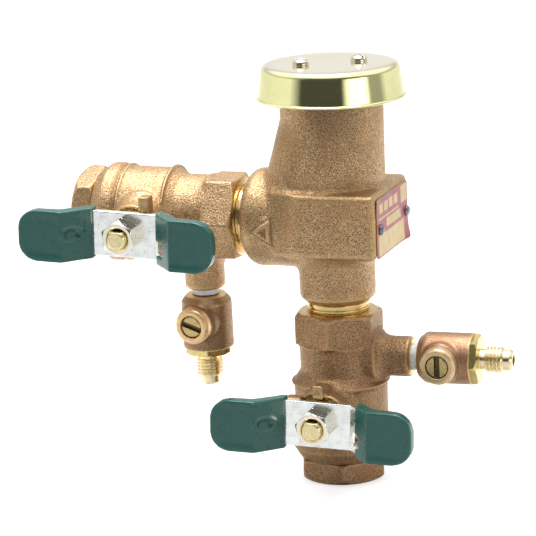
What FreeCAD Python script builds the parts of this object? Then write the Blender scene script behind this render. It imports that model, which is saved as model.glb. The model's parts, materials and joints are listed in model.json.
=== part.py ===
import FreeCAD, Part
import math
import os
import Sketcher

# Half-inch pressure vacuum breaker: an upright cast chamber with a spring
# check and an air-inlet float, a quarter-turn ball valve below it (inlet) and
# another one to the left of it (outlet), each valve with a small test cock.
# Frame: origin at the centre of the inlet port's mouth, +Z up along the inlet
# axis, outlet towards -X, handles and test-cock screws towards -Y.

os.makedirs("parts", exist_ok=True)
doc = FreeCAD.newDocument("backflow_preventer")
Vector = FreeCAD.Vector
Rotation = FreeCAD.Rotation

# ------------------------------------------------------------ driving sizes
# (spreadsheet alias, mm), the last group in degrees
SIZES = [
    # whole object
    ("outlet_height", 93.5), ("inlet_valve_height", 27.5), ("outlet_valve_reach", 67.1),
    # cast body
    ("chamber_rad", 18.0), ("chamber_bottom", 83.2), ("chamber_top", 138.5),
    ("chamber_bore", 13.8), ("chamber_floor", 86.5),
    ("upper_bore", 14.8), ("upper_bore_start", 109.5),
    ("flare_top", 129.5), ("flare_shift", 11.5), ("branch_rad", 17.3), ("branch_reach", 31.0),
    ("block_right", 20.5), ("block_half_width", 20.7),
    ("block_bottom", 83.2), ("block_top", 106.2),
    ("neck_rad", 13.4), ("neck_bottom", 64.5), ("passage_rad", 8.2),
    ("pipe_thread_rad", 10.3), ("pipe_thread_len", 11.0),
    # nipples
    ("nipple_bore", 7.9), ("nipple_ring", 11.0), ("nipple_gap", 3.5),
    # canopy and bonnet
    ("canopy_low", 136.9), ("canopy_high", 148.7),
    ("canopy_low_rad", 25.7), ("canopy_top_rad", 24.0),
    ("canopy_sheet", 1.0), ("canopy_screw_reach", 10.3), ("canopy_screw_rad", 1.5),
    ("throat_rad", 7.2), ("bonnet_flange_rad", 17.2), ("bonnet_flange_len", 3.0),
    ("guide_rad", 2.0), ("running_gap", 0.05),
    # ball valve
    ("hex_flats", 28.0), ("hex_start", 22.0), ("valve_top", 33.5), ("valve_end", 27.5),
    ("waist_rad", 14.2), ("band_rad", 16.5), ("swell_rad", 17.6), ("tail_rad", 15.0),
    ("connector_flats", 28.5), ("connector_start", 19.6), ("connector_thread", 13.4),
    ("cavity_rad", 12.2), ("ball_rad", 11.6), ("port_rad", 6.6),
    ("end_port_rad", 9.4), ("end_port_len", 12.0),
    ("test_boss_rad", 7.15), ("test_boss_reach", 26.7), ("test_boss_height", 17.1),
    ("stem_boss_rad", 8.8), ("stem_boss_end", 24.5), ("stem_rad", 3.6), ("stem_flats", 2.9),
    ("lug_ring", 10.2), ("lug_end", 28.2),
    # handle
    ("plate_face", 32.0), ("sheet", 2.3), ("plate_half", 12.0), ("ramp_rise", 8.5),
    ("arm_reach", 34.6), ("arm_half_width", 8.1), ("grip_wall", 1.1), ("stem_tip", 40.3),
    ("nut_flats", 11.0), ("nut_face", 38.4),
    # test cock
    ("cock_rad", 9.05), ("cock_shank", 4.3), ("cock_tape", 4.55),
    ("cock_screw_at", 11.6), ("cock_end", 21.9),
    ("cock_ring_rad", 6.5), ("cock_ring_face", 13.4), ("cock_stem_rad", 3.875),
    ("flare_rad", 4.76),
    # how the parts stand at rest: each valve is screwed up a little past square, each
    # handle leans on its stop, and one test-cock screw is not quite shut
    ("inlet_roll", 2.0), ("outlet_roll", 2.0), ("handle_lean", 2.3),
    ("outlet_screw_turn", 18.0), ("outlet_cock_roll", 6.5),
]


class Dim(object):
    """One size: its number, and the sheet formula that gives the number."""

    def __init__(self, value, text):
        self.value = float(value)
        self.text = text

    def __add__(self, other):
        other = dim(other)
        return Dim(self.value + other.value, "(%s + %s)" % (self.text, other.text))

    def __sub__(self, other):
        other = dim(other)
        return Dim(self.value - other.value, "(%s - %s)" % (self.text, other.text))

    def __mul__(self, other):
        other = dim(other)
        return Dim(self.value * other.value, "(%s * %s)" % (self.text, other.text))

    def __truediv__(self, other):
        other = dim(other)
        return Dim(self.value / other.value, "(%s / %s)" % (self.text, other.text))

    def __neg__(self):
        return Dim(-self.value, "(-1 * %s)" % self.text)

    def __radd__(self, other):
        return dim(other) + self

    def __rsub__(self, other):
        return dim(other) - self

    def __rmul__(self, other):
        return dim(other) * self


def dim(x):
    if isinstance(x, Dim):
        return x
    return Dim(x, ("%.6f" % x) if x >= 0 else "(0 - %.6f)" % -x)


def val(x):
    return dim(x).value


class Sizes(object):
    """Holds one Dim per alias of the spreadsheet."""


size = Sizes()
spreadsheet = doc.addObject("Spreadsheet::Sheet", "Sizes")
for row, (alias, value) in enumerate(SIZES, start=1):
    spreadsheet.set("A%d" % row, alias.replace("_", " "))
    spreadsheet.set("B%d" % row, str(value))
    spreadsheet.setAlias("B%d" % row, alias)
    setattr(size, alias, Dim(value, "Sizes." + alias))
doc.recompute()

# ------------------------------------------------------- frames and placing
ORIGIN = (0, 0, 0)
AXIS_X = Vector(1, 0, 0)
AXIS_Y = Vector(0, 1, 0)
AXIS_Z = Vector(0, 0, 1)
UPRIGHT = Rotation()
# these turn a primitive's +Z to the axis they name
TO_X = Rotation(AXIS_Y, 90)
TO_MINUS_X = Rotation(AXIS_Y, -90)
TO_MINUS_Y = Rotation(AXIS_X, 90)


def about_z(angle):
    return Rotation(AXIS_Z, angle)


def bind(obj, prop, x):
    """Tie a property to the sheet when its size comes from the sheet."""
    if isinstance(x, Dim):
        obj.setExpression(prop, x.text)


def place(obj, at=ORIGIN, rot=UPRIGHT):
    obj.Placement = FreeCAD.Placement(Vector(*[val(x) for x in at]), rot)
    for axis, x in zip("xyz", at):
        bind(obj, "Placement.Base." + axis, x)
    return obj


def moved(at, rot, local):
    """The point local of a frame that stands at 'at', turned by rot."""
    m = rot.toMatrix()
    rows = ((m.A11, m.A12, m.A13), (m.A21, m.A22, m.A23), (m.A31, m.A32, m.A33))
    point = []
    for start, factors in zip(at, rows):
        total = dim(start)
        for factor, x in zip(factors, local):
            if abs(factor) > 1e-9 and val(x):
                total = total + dim(x) * factor
        point.append(total)
    return tuple(point)


# --------------------------------------------------------------- primitives
made = [0]


def tag(word):
    """A name that no other object has."""
    made[0] += 1
    return "%s_%03d" % (word, made[0])


def primitive(kind, at, rot, **sizes):
    obj = doc.addObject("Part::" + kind, tag(kind.lower()))
    for prop, x in sizes.items():
        setattr(obj, prop, val(x))
        bind(obj, prop, x)
    return place(obj, at, rot)


def cyl(rad, length, at=ORIGIN, rot=UPRIGHT):
    return primitive("Cylinder", at, rot, Radius=rad, Height=length)


def ball(rad, at=ORIGIN):
    return primitive("Sphere", at, UPRIGHT, Radius=rad)


def ring(rad, wire_rad, at=ORIGIN, rot=UPRIGHT):
    return primitive("Torus", at, rot, Radius1=rad, Radius2=wire_rad)


def box(low, high):
    """A box between two opposite corners."""
    length, width, height = [b - a for a, b in zip(low, high)]
    return primitive("Box", low, UPRIGHT, Length=length, Width=width, Height=height)


def bar(angle, start, length, width, height, z):
    """A box that runs outwards from the Z axis at an angle, beginning at radius start."""
    turn = about_z(angle)
    corner = turn.multVec(Vector(start, -width / 2, 0))
    return primitive("Box", (corner.x, corner.y, z), turn,
                     Length=length, Width=width, Height=height)


def spokes(first_angle, **bar_sizes):
    return [bar(first_angle + 120 * k, **bar_sizes) for k in range(3)]


def hexagon(flats, length, at=ORIGIN, rot=UPRIGHT):
    corner = flats * (0.5 / math.cos(math.radians(30)))
    obj = primitive("Prism", at, rot, Circumradius=corner, Height=length)
    obj.Polygon = 6
    return obj


def fuse(*objs):
    obj = doc.addObject("Part::MultiFuse", tag("fuse"))
    obj.Shapes = list(objs)
    obj.Refine = True
    return obj


def common(base, tool):
    obj = doc.addObject("Part::Common", tag("common"))
    obj.Base = base
    obj.Tool = tool
    return obj


def cut(base, *tools):
    obj = doc.addObject("Part::Cut", tag("cut"))
    obj.Base = base
    obj.Tool = tools[0] if len(tools) == 1 else fuse(*tools)
    return obj


def group(*objs):
    obj = doc.addObject("Part::Compound", tag("group"))
    obj.Links = list(objs)
    return obj


def near(x, target):
    return abs(x - val(target)) < 1e-3


def fillet(base, rad, choose):
    """Round the edges of base that choose(edge, its bounding box) picks."""
    doc.recompute()
    picked = [i for i, edge in enumerate(base.Shape.Edges, start=1)
              if choose(edge, edge.BoundBox)]
    if not picked:
        raise RuntimeError("no edges to round on " + base.Name)
    obj = doc.addObject("Part::Fillet", tag("fillet"))
    obj.Base = base
    obj.Edges = [(i, rad, rad) for i in picked]
    doc.recompute()
    if obj.Shape.isNull() or not obj.Shape.isValid() or "Invalid" in obj.State:
        raise RuntimeError("fillet failed on " + base.Name)
    return obj


# ---------------------------------------------------------- sketched solids
def sketch(body, plane, points):
    """A closed polygon in one of the body's origin planes, every corner held by two sizes."""
    outline = body.newObject("Sketcher::SketchObject", tag("sketch"))
    origin_plane = [f for f in body.Origin.OriginFeatures if f.Role == plane][0]
    outline.AttachmentSupport = [(origin_plane, "")]
    outline.MapMode = "FlatFace"
    count = len(points)
    corners = [Vector(val(a), val(b), 0) for a, b in points]
    outline.addGeometry([Part.LineSegment(corners[i], corners[(i + 1) % count])
                         for i in range(count)], False)
    rules = [Sketcher.Constraint("Coincident", i, 2, (i + 1) % count, 1) for i in range(count)]
    ties = []
    for i, (a, b) in enumerate(points):
        for kind, x, axis in (("DistanceX", a, -2), ("DistanceY", b, -1)):
            if abs(val(x)) < 1e-9:
                rules.append(Sketcher.Constraint("PointOnObject", i, 1, axis))
            else:
                rules.append(Sketcher.Constraint(kind, -1, 1, i, 1, val(x)))
                if isinstance(x, Dim):
                    ties.append((len(rules) - 1, x.text))
    outline.addConstraint(rules)
    for index, text in ties:
        outline.setExpression("Constraints[%d]" % index, text)
    return outline


def turned(points, at=ORIGIN, rot=UPRIGHT):
    """A PartDesign body turned about its Z axis; points are (radius, height)."""
    body = doc.addObject("PartDesign::Body", tag("body"))
    profile = sketch(body, "XZ_Plane", points)
    turn = body.newObject("PartDesign::Revolution", tag("turn"))
    turn.Profile = profile
    turn.ReferenceAxis = (profile, ["V_Axis"])
    turn.Angle = 360.0
    body.Tip = turn
    return place(body, at, rot)


def washer(inner, outer, low, high, at=ORIGIN):
    """A turned ring of rectangular section."""
    return turned([(inner, low), (outer, low), (outer, high), (inner, high)], at)


def padded(points, length, at=ORIGIN, rot=UPRIGHT):
    """A PartDesign body: a polygon of (x, y) in its XY plane, padded along +Z."""
    body = doc.addObject("PartDesign::Body", tag("body"))
    profile = sketch(body, "XY_Plane", points)
    pad = body.newObject("PartDesign::Pad", tag("pad"))
    pad.Profile = profile
    pad.Length = val(length)
    bind(pad, "Length", length)
    body.Tip = pad
    return place(body, at, rot)


NODES = []


def node(name, obj):
    """Enter obj as a piece to be written."""
    obj.Label = name
    NODES.append((name, obj))


# Heights that many pieces are measured from
outlet_z = size.outlet_height
AT_OUTLET = (0, 0, outlet_z)
rim = size.chamber_top
AT_RIM = (0, 0, rim)

# ------------------------------------------------------------ the cast body
TAG_SCREW_YS = (-14.4, 16.4)
TAG_SCREW_RAD = 0.95


def flare_solid():
    """Slanting swell from the chamber down to the outlet branch."""
    top_ring = primitive("Circle", (0, 0, size.flare_top), UPRIGHT, Radius=size.chamber_rad)
    low_ring = primitive("Circle", (-size.flare_shift, 0, outlet_z), UPRIGHT,
                         Radius=size.branch_rad)
    flare = doc.addObject("Part::Loft", tag("flare"))
    flare.Sections = [top_ring, low_ring]
    flare.Solid = True
    flare.Ruled = True
    return flare


def block_solid():
    """Square block at the branch's level; its sides run out to the left into the branch."""
    half = size.block_half_width
    taper_start, taper_end, taper = -8.0, -19.0, 5.5
    block = padded([(size.block_right, -half), (size.block_right, half),
                    (taper_start, half), (taper_end, half - taper),
                    (taper_end, taper - half), (taper_start, -half)],
                   size.block_top - size.block_bottom, (0, 0, size.block_bottom))
    return fillet(block, 2.2, lambda edge, span: span.XMax > 0 and (
        span.XMin > taper_start + 0.1 or near(span.ZMax, span.ZMin)))


def body_outside():
    chamber = cyl(size.chamber_rad, rim - size.chamber_bottom, (0, 0, size.chamber_bottom))
    chamber = fillet(chamber, 2.5, lambda edge, span:
                     edge.Closed and near(span.ZMax, size.chamber_bottom))
    flare = flare_solid()
    branch = cyl(size.branch_rad, size.branch_reach, AT_OUTLET, TO_MINUS_X)
    branch = fillet(branch, 5.0, lambda edge, span:
                    edge.Closed and near(span.XMax, -size.branch_reach))
    elbow = ball(size.branch_rad, AT_OUTLET)
    block = block_solid()
    neck = turned([
        (0, outlet_z - 8.0), (size.neck_rad + 4.2, outlet_z - 8.0),
        (size.neck_rad + 3.6, outlet_z - 10.6), (size.neck_rad + 1.6, outlet_z - 13.0),
        (size.neck_rad, outlet_z - 15.2), (size.neck_rad, size.neck_bottom + 1.8),
        (size.nipple_ring, size.neck_bottom), (0, size.neck_bottom)])
    # raised flow arrow on the branch, pointing out through the outlet
    arrow = padded([(-24.4, 0), (-19.6, 3.4), (-19.6, -3.4)], 19.5, AT_OUTLET, TO_MINUS_Y)
    arrow = common(arrow, cyl(size.branch_rad + 0.55, 30.0, AT_OUTLET, TO_MINUS_X))
    return fuse(chamber, flare, branch, elbow, block, neck, arrow)


def body_bores():
    thread, thread_len = size.pipe_thread_rad, size.pipe_thread_len
    bores = [
        # up the neck and the chamber
        cyl(thread, thread_len, (0, 0, size.neck_bottom)),
        cyl(size.passage_rad, 12.0, (0, 0, size.neck_bottom + 8.0)),
        cyl(9.8, 8.0, (0, 0, outlet_z - 14.0)),
        cyl(size.chamber_bore, rim - size.chamber_floor, (0, 0, size.chamber_floor)),
        cyl(size.upper_bore, rim - size.upper_bore_start + 2, (0, 0, size.upper_bore_start)),
        # out along the branch
        cyl(size.passage_rad, 16.0, (-12.5, 0, outlet_z), TO_MINUS_X),
        cyl(thread, thread_len + 1, (-size.branch_reach + thread_len, 0, outlet_z), TO_MINUS_X),
    ]
    # blind holes for the tag's two drive screws
    return bores + [cyl(TAG_SCREW_RAD, 6.0, (size.block_right - 5.0, y, outlet_z), TO_X)
                    for y in TAG_SCREW_YS]


node("body", cut(body_outside(), *body_bores()))


# ------------------------------------------------------------------ nipples
def nipple(gap, at, rot=UPRIGHT):
    """Close nipple: two threaded ends and a plain ring, gap wide, grooved round its middle."""
    ring_end = gap / 2
    end = ring_end + size.pipe_thread_len
    thread, collar, bore = size.pipe_thread_rad, size.nipple_ring, size.nipple_bore
    return turned([
        (bore, -end), (thread - 0.6, -end), (thread, -end + 0.9), (thread, -ring_end),
        (collar, -ring_end), (collar + 0.1, -0.2), (collar - 0.5, -0.1), (collar - 0.5, 0.25),
        (collar, 0.4), (collar, ring_end), (thread, ring_end), (thread, end - 0.9),
        (thread - 0.6, end), (bore, end)], at, rot)


outlet_gap = size.outlet_valve_reach - size.valve_top - size.branch_reach
node("inlet_nipple", nipple(size.nipple_gap, (0, 0, size.neck_bottom - size.nipple_gap / 2)))
node("outlet_nipple", nipple(outlet_gap, (-size.branch_reach - outlet_gap / 2, 0, outlet_z),
                             TO_MINUS_X))

# ------------------------------------------------ canopy, its screws, bonnet
SCREW_ANGLE = math.radians(30)
SCREW_XY = [(size.canopy_screw_reach * (sign * math.cos(SCREW_ANGLE)),
             size.canopy_screw_reach * (sign * math.sin(SCREW_ANGLE))) for sign in (-1, 1)]
SCREW_LEN = 6.5
guide_hole = size.guide_rad + size.running_gap


def canopy_form(inset, corner_rad):
    """The canopy's cone with a rounded top, made smaller by inset."""
    top = size.canopy_high - inset
    form = primitive("Cone", (0, 0, size.canopy_low), UPRIGHT,
                     Radius1=size.canopy_low_rad - inset, Radius2=size.canopy_top_rad - inset,
                     Height=top - size.canopy_low)
    return fillet(form, corner_rad, lambda edge, span: edge.Closed and near(span.ZMin, top))


def canopy():
    dish = canopy_form(0, 1.7)
    hollow = canopy_form(size.canopy_sheet, 0.8)
    return cut(dish, hollow, *[cyl(size.canopy_screw_rad + 0.1, 4.0,
                                   (x, y, size.canopy_high - 3.0)) for x, y in SCREW_XY])


def canopy_screw(at, slot_angle):
    """Round-headed slotted screw, the underside of its head at height 0."""
    rad = size.canopy_screw_rad
    screw = turned([(0, -SCREW_LEN), (rad, -SCREW_LEN), (rad, 0), (2.95, 0), (2.95, 0.7),
                    (2.7, 1.35), (2.0, 1.9), (1.0, 2.2), (0, 2.25)])
    slot = bar(slot_angle, start=-3.5, length=7.0, width=0.8, height=1.6, z=1.15)
    return place(cut(screw, slot), at)


def bonnet():
    """Flanged ring with a spoked guide hub in its throat and two posts under the canopy."""
    throat, outer = size.throat_rad, size.upper_bore
    flange, flange_top = size.bonnet_flange_rad, size.bonnet_flange_len
    flanged_ring = turned([
        (throat, -10.8), (throat + 0.2, -12.0), (throat + 1.3, -12.0), (throat + 1.5, -10.8),
        (outer - 0.7, -10.8), (outer, -10.0), (outer, -3.4), (13.0, -3.4), (13.0, -1.0),
        (outer, -1.0), (outer, 0), (flange, 0), (flange, flange_top - 0.5),
        (flange - 0.5, flange_top), (throat, flange_top)], AT_RIM)
    hub_z, hub_height = rim - 7.0, 3.0
    hub = cyl(4.2, hub_height, (0, 0, hub_z))
    webs = spokes(90, start=2.5, length=throat - 1.7, width=1.8, height=hub_height, z=hub_z)
    # the posts begin inside the flange
    post_z = rim + flange_top - 1.0
    post_top = size.canopy_high - size.canopy_sheet
    posts = [cyl(3.2, post_top - post_z, (x, y, post_z)) for x, y in SCREW_XY]
    post_holes = [cyl(size.canopy_screw_rad, 8.0, (x, y, size.canopy_high - SCREW_LEN))
                  for x, y in SCREW_XY]
    return cut(fuse(flanged_ring, hub, *(webs + posts)),
               cyl(guide_hole, 20.0, (0, 0, rim - 12.0)), *post_holes)


node("canopy", canopy())
node("canopy_screws", group(*[canopy_screw((x, y, size.canopy_high), angle)
                              for (x, y), angle in zip(SCREW_XY, (12.0, -35.0))]))
node("bonnet", bonnet())
node("bonnet_o_ring", ring(13.9, 0.88, (0, 0, rim - 2.2)))


# ------------------------------------------------- check and air-inlet float
# Turned profiles here are (radius, height above the outlet's axis).
def check_seat():
    seat = turned([
        (7.6, -14.0), (9.8, -14.0), (9.8, -7.0), (12.0, -7.0), (12.0, -5.4), (9.6, -5.4),
        (9.3, -4.45), (8.4, -4.45), (7.6, -5.4)], AT_OUTLET)
    hub_z, hub_height = outlet_z - 13.5, 3.0
    hub = cyl(3.6, hub_height, (0, 0, hub_z))
    webs = spokes(90, start=2.3, length=6.0, width=1.6, height=hub_height, z=hub_z)
    return cut(fuse(seat, hub, *webs), cyl(guide_hole, 10.0, (0, 0, outlet_z - 16.0)))


def check_poppet():
    guide = size.guide_rad
    return turned([
        (0, -17.5), (guide - 0.4, -17.5), (guide, -17.0), (guide, -6.2), (4.0, -6.2),
        (4.0, -2.2), (11.6, -2.2), (11.6, -0.6), (10.8, 0), (3.6, 0), (3.6, 3.0),
        (3.0, 3.6), (0, 3.6)], AT_OUTLET)


def check_disc_retainer():
    return turned([(4.0, -6.0), (6.3, -6.0), (6.8, -5.6), (6.8, -4.4), (4.0, -4.4)], AT_OUTLET)


def guide_bridge():
    """Spoked bridge on the step of the chamber's bore, its hub guiding the float."""
    height = 2.5
    bridge_ring = washer(12.3, size.upper_bore, 0, height, (0, 0, size.upper_bore_start))
    hub = turned([(guide_hole, 14.0), (5.2, 14.0), (5.2, 16.0), (4.4, 19.0),
                  (guide_hole, 19.0)], AT_OUTLET)
    webs = spokes(30, start=3.6, length=9.4, width=2.2, height=height, z=size.upper_bore_start)
    return fuse(bridge_ring, hub, *webs)


def vent_float():
    guide = size.guide_rad
    return turned([
        (0, 12.5), (guide - 0.4, 12.5), (guide, 13.0), (guide, 22.4), (9.3, 22.4), (9.3, 19.6),
        (11.0, 19.6), (11.0, 26.0), (4.0, 26.0), (4.0, 28.0), (guide, 28.0), (guide, 45.0),
        (guide - 0.5, 45.5), (0, 45.5)], AT_OUTLET)


def vent_disc_retainer():
    guide = size.guide_rad
    return turned([(guide, 28.0), (6.2, 28.0), (6.2, 29.2), (5.4, 30.0), (guide, 30.0)],
                  AT_OUTLET)


def spring(name, rad, wire_rad, low, high, turns):
    """A compression spring swept along a helix, just clear of the levels low and high."""
    clearance = 0.02
    rise = val(high) - val(low) - 2 * (wire_rad + clearance)
    helix = Part.makeHelix(rise / turns, rise, rad)
    section = Part.Wire([Part.Circle(Vector(rad, 0, 0), AXIS_Y, wire_rad).toShape()])
    shape = Part.Wire(helix.Edges).makePipeShell([section], True, True)
    # the sweep may come back as a shell or as a holder of one solid
    if shape.ShapeType == "Shell":
        shape = Part.Solid(shape)
    elif shape.Solids:
        shape = shape.Solids[0]
    obj = doc.addObject("Part::Feature", name + "_coil")
    obj.Shape = shape
    obj.Placement = FreeCAD.Placement(Vector(0, 0, val(low) + wire_rad + clearance), UPRIGHT)
    return obj


node("check_seat", check_seat())
node("check_poppet", check_poppet())
node("check_disc", washer(4.0, 10.6, -4.4, -2.2, AT_OUTLET))
node("check_disc_retainer", check_disc_retainer())
node("guide_bridge", guide_bridge())
node("check_spring", spring("check_spring", rad=4.5, wire_rad=0.45,
                            low=outlet_z, high=outlet_z + 14.0, turns=5))
node("vent_float", vent_float())
node("vent_disc", washer(4.0, 10.5, 26.0, 28.0, AT_OUTLET))
node("vent_disc_retainer", vent_disc_retainer())
node("vent_spring", spring("vent_spring", rad=3.4, wire_rad=0.3,
                           low=outlet_z + 30.0, high=rim - 7.0, turns=4))

# ---------------------------------------------------------------- tag plate
TAG_THICKNESS = 0.5


def id_tag():
    plate = box((size.block_right, -18.3, outlet_z - 9.9),
                (size.block_right + TAG_THICKNESS, 18.3, outlet_z + 10.9))
    # the four corners
    plate = fillet(plate, 1.4, lambda edge, span: span.XMax - span.XMin > 0.4)
    return cut(plate, *[cyl(TAG_SCREW_RAD, 3.0, (size.block_right - 1.0, y, outlet_z), TO_X)
                        for y in TAG_SCREW_YS])


def drive_screw(y):
    return turned([
        (0, -4.8), (0.7, -4.8), (TAG_SCREW_RAD, -4.4), (TAG_SCREW_RAD, 0), (1.9, 0),
        (1.85, 0.5), (1.4, 1.0), (0.7, 1.25), (0, 1.3)],
        (size.block_right + TAG_THICKNESS, y, outlet_z), TO_X)


node("id_tag", id_tag())
node("tag_drive_screws", group(*[drive_screw(y) for y in TAG_SCREW_YS]))

# --------------------------------------------------------- valve, fixed part
# A valve's own frame: ball at the origin, +Z towards the vacuum breaker along
# the water way, +X along the test-cock boss, stem towards -Y.
SEAT_BORE, SEAT_NEAR, SEAT_FAR = 7.1, 6.6, 11.5     # ball seats: bore, start and end along Z
POCKET_START, WASHER_END = 9.0, 15.1                # stem pocket, distances along -Y
PACKING_RAD, PACKING_START, PACKING_END = 6.3, 18.3, 21.4
GLAND_HEX = 24.6
stem_hole = size.stem_rad + size.running_gap


def handle_stops():
    """A quarter ring round the stem boss with a square lug at each end."""
    stop_ring = cut(cyl(size.lug_ring, size.lug_end - 12.6, (0, -9.0, 0), TO_MINUS_Y),
                    cyl(size.stem_boss_rad - 0.4, 30.0, (0, -2.0, 0), TO_MINUS_Y))
    return fuse(common(stop_ring, box((-30.0, -30.0, 4.5), (1.1, 0.0, 30.0))),
                box((-2.4, -size.lug_end, 8.0), (1.1, -22.8, 12.8)),
                box((-12.6, -size.lug_end, 4.5), (-6.8, -22.8, 8.2)))


def valve_outside():
    band, top, hex_start = size.band_rad, size.valve_top, size.hex_start
    shell = turned([
        (0, hex_start), (size.waist_rad + 0.6, hex_start), (size.waist_rad, 20.0),
        (size.waist_rad, 12.0), (16.2, 8.8), (band + 0.5, 8.2), (band + 0.5, 7.4), (band, 6.8),
        (band, -8.1), (band + 0.5, -8.7), (band + 0.5, -9.5), (16.3, -10.2),
        (size.swell_rad, -12.3), (size.swell_rad, -15.4),
        (size.tail_rad, -size.connector_start), (0, -size.connector_start)])
    hexa = common(hexagon(size.hex_flats, top - hex_start, (0, 0, hex_start), about_z(30)),
                  turned([(0, hex_start - 1), (15.2, hex_start - 1), (16.6, hex_start + 1.0),
                          (16.6, top - 1.9), (13.6, top), (0, top)]))
    test_rad, test_end = size.test_boss_rad, size.test_boss_reach
    test_boss = turned([
        (0, 0), (10.6, 0), (9.9, 14.6), (8.3, 15.9), (7.5, 17.4), (test_rad, 19.0),
        (test_rad, test_end - 0.7), (test_rad - 0.7, test_end), (0, test_end)],
        (0, 0, size.test_boss_height), TO_X)
    stem_rad, stem_end = size.stem_boss_rad, size.stem_boss_end
    stem_boss = turned([
        (0, 0), (12.0, 0), (11.2, 14.6), (9.6, 16.6), (stem_rad, 18.6),
        (stem_rad, stem_end - 0.6), (stem_rad - 0.6, stem_end), (0, stem_end)],
        ORIGIN, TO_MINUS_Y)
    return fuse(shell, hexa, test_boss, stem_boss, handle_stops())


def valve_casting():
    thread_len, boss_z = size.pipe_thread_len, size.test_boss_height
    at_pocket = (0, -POCKET_START, 0)
    return cut(
        valve_outside(),
        # water way
        cyl(size.pipe_thread_rad, thread_len + 1.0, (0, 0, size.valve_top - thread_len)),
        cyl(size.nipple_bore, 16.0, (0, 0, 8.0)),
        cyl(size.cavity_rad, 34.0, (0, 0, -22.5)),
        cyl(size.connector_thread, 10.5, (0, 0, -23.0)),
        # stem pocket, stem hole and packing chamber
        cyl(5.3, WASHER_END - POCKET_START, at_pocket, TO_MINUS_Y),
        cyl(stem_hole, 20.0, at_pocket, TO_MINUS_Y),
        cyl(PACKING_RAD, 10.0, (0, -PACKING_START, 0), TO_MINUS_Y),
        # tapped hole for the test cock and the passage behind it
        cyl(size.cock_tape, 12.0, (size.test_boss_reach - 8.5, 0, boss_z), TO_X),
        cyl(2.0, 16.0, (6.0, 0, boss_z), TO_X))


def end_connector():
    """Hexagonal end piece with a spigot that screws in behind the ball."""
    end, start, thread = -size.valve_end, -size.connector_start, size.connector_thread
    end_hex = common(hexagon(size.connector_flats, start - end, (0, 0, end), about_z(-15)),
                     turned([(0, end), (13.4, end), (14.8, end + 0.7), (16.2, end + 2.4),
                             (16.3, start - 0.9), (15.2, start), (0, start)]))
    spigot = turned([(0, start), (thread, start), (thread, -13.2), (12.6, -12.5),
                     (12.1, -12.5), (12.1, -SEAT_FAR), (0, -SEAT_FAR)])
    return cut(fuse(end_hex, spigot),
               cyl(size.end_port_rad, size.end_port_len, (0, 0, end)),
               cyl(7.0, 20.0, (0, 0, -27.0)))


def ball_seats():
    return cut(fuse(washer(SEAT_BORE, size.cavity_rad, SEAT_NEAR, SEAT_FAR),
                    washer(SEAT_BORE, size.cavity_rad, -SEAT_FAR, -SEAT_NEAR)),
               ball(size.ball_rad + 0.02))


def packing_gland():
    """Hexagon-headed gland, made along +Z."""
    rounding = turned([(0, GLAND_HEX), (8.0, GLAND_HEX), (8.0, 27.6), (6.6, 28.2), (0, 28.2)])
    gland = fuse(cyl(PACKING_RAD, GLAND_HEX - PACKING_END, (0, 0, PACKING_END)),
                 common(hexagon(13.0, 3.6, (0, 0, GLAND_HEX)), rounding))
    return cut(gland, cyl(stem_hole, 12.0, (0, 0, 20.0)))


# ------------------------------------------------------- valve, turning part
# Same origin and stem towards -Y, with the handle's length along X.
plate_out = -size.plate_face            # the plate's outer face
plate_back = plate_out + size.sheet     # and its face towards the valve


def valve_ball():
    return cut(ball(size.ball_rad), cyl(size.port_rad, 40.0, (-20.0, 0, 0), TO_X),
               box((-5.2, -14.0, -1.62), (5.2, -8.7, 1.62)))


def valve_stem():
    """Shouldered stem with a tang into the ball and two flats through the handle."""
    rad, tip, flats = size.stem_rad, size.stem_tip, size.stem_flats
    stem = turned([(0, 11.8), (5.0, 11.8), (5.0, 13.9), (rad, 13.9), (rad, tip - 0.7),
                   (rad - 0.7, tip), (0, tip)], ORIGIN, TO_MINUS_Y)
    tang = box((-4.0, -12.4, -1.55), (4.0, -8.8, 1.55))
    return cut(fuse(stem, tang),
               box((-6.0, -45.0, flats), (6.0, plate_back, 8.0)),
               box((-6.0, -45.0, -8.0), (6.0, plate_back, -flats)))


def lever_strip(wall, corner_rad):
    """The bent strip from arm to arm, grown by wall on every side."""
    plate, rise = size.plate_half, size.ramp_rise
    # a 45 degree bend moves its corner by this share of the thickness
    bend_share = math.tan(math.radians(22.5))
    shift = wall * bend_share
    bend = size.sheet * bend_share
    reach = size.arm_reach + wall
    half_width = size.arm_half_width + wall
    outer = plate_out - wall
    back = plate_back + wall
    # right halves of the outer and the back outline, (x, y)
    outer_side = [(plate - shift, outer), (plate + rise - shift, outer - rise),
                  (reach, outer - rise)]
    back_side = [(reach, back - rise), (plate + rise + bend + shift, back - rise),
                 (plate + bend + shift, back)]

    def mirrored(points):
        return [(-x, y) for x, y in reversed(points)]

    strip = padded(mirrored(outer_side) + outer_side + back_side + mirrored(back_side),
                   half_width * 2, (0, 0, -half_width))
    # the corners of the two ends
    return fillet(strip, corner_rad, lambda edge, span: near(abs(span.XMax), reach)
                  and near(span.XMax, span.XMin) and near(span.ZMax, span.ZMin))


def lever_parts():
    """The strip, and a tab towards the valve at each end of the plate with its root."""
    plate = size.plate_half
    tab_end, root = -26.4, plate_back - 1.0
    return [
        lever_strip(0, 6.2),
        box((plate - 0.8, plate_back, -3.8), (plate + 1.0, tab_end, -1.2)),
        box((plate - 0.8, root, -3.8), (plate + 0.9, plate_back, -1.2)),
        box((-plate - 1.0, plate_back, 1.2), (-plate + 0.8, tab_end, 3.8)),
        box((-plate - 0.9, root, 1.2), (-plate + 0.8, plate_back, 3.8)),
    ]


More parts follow.
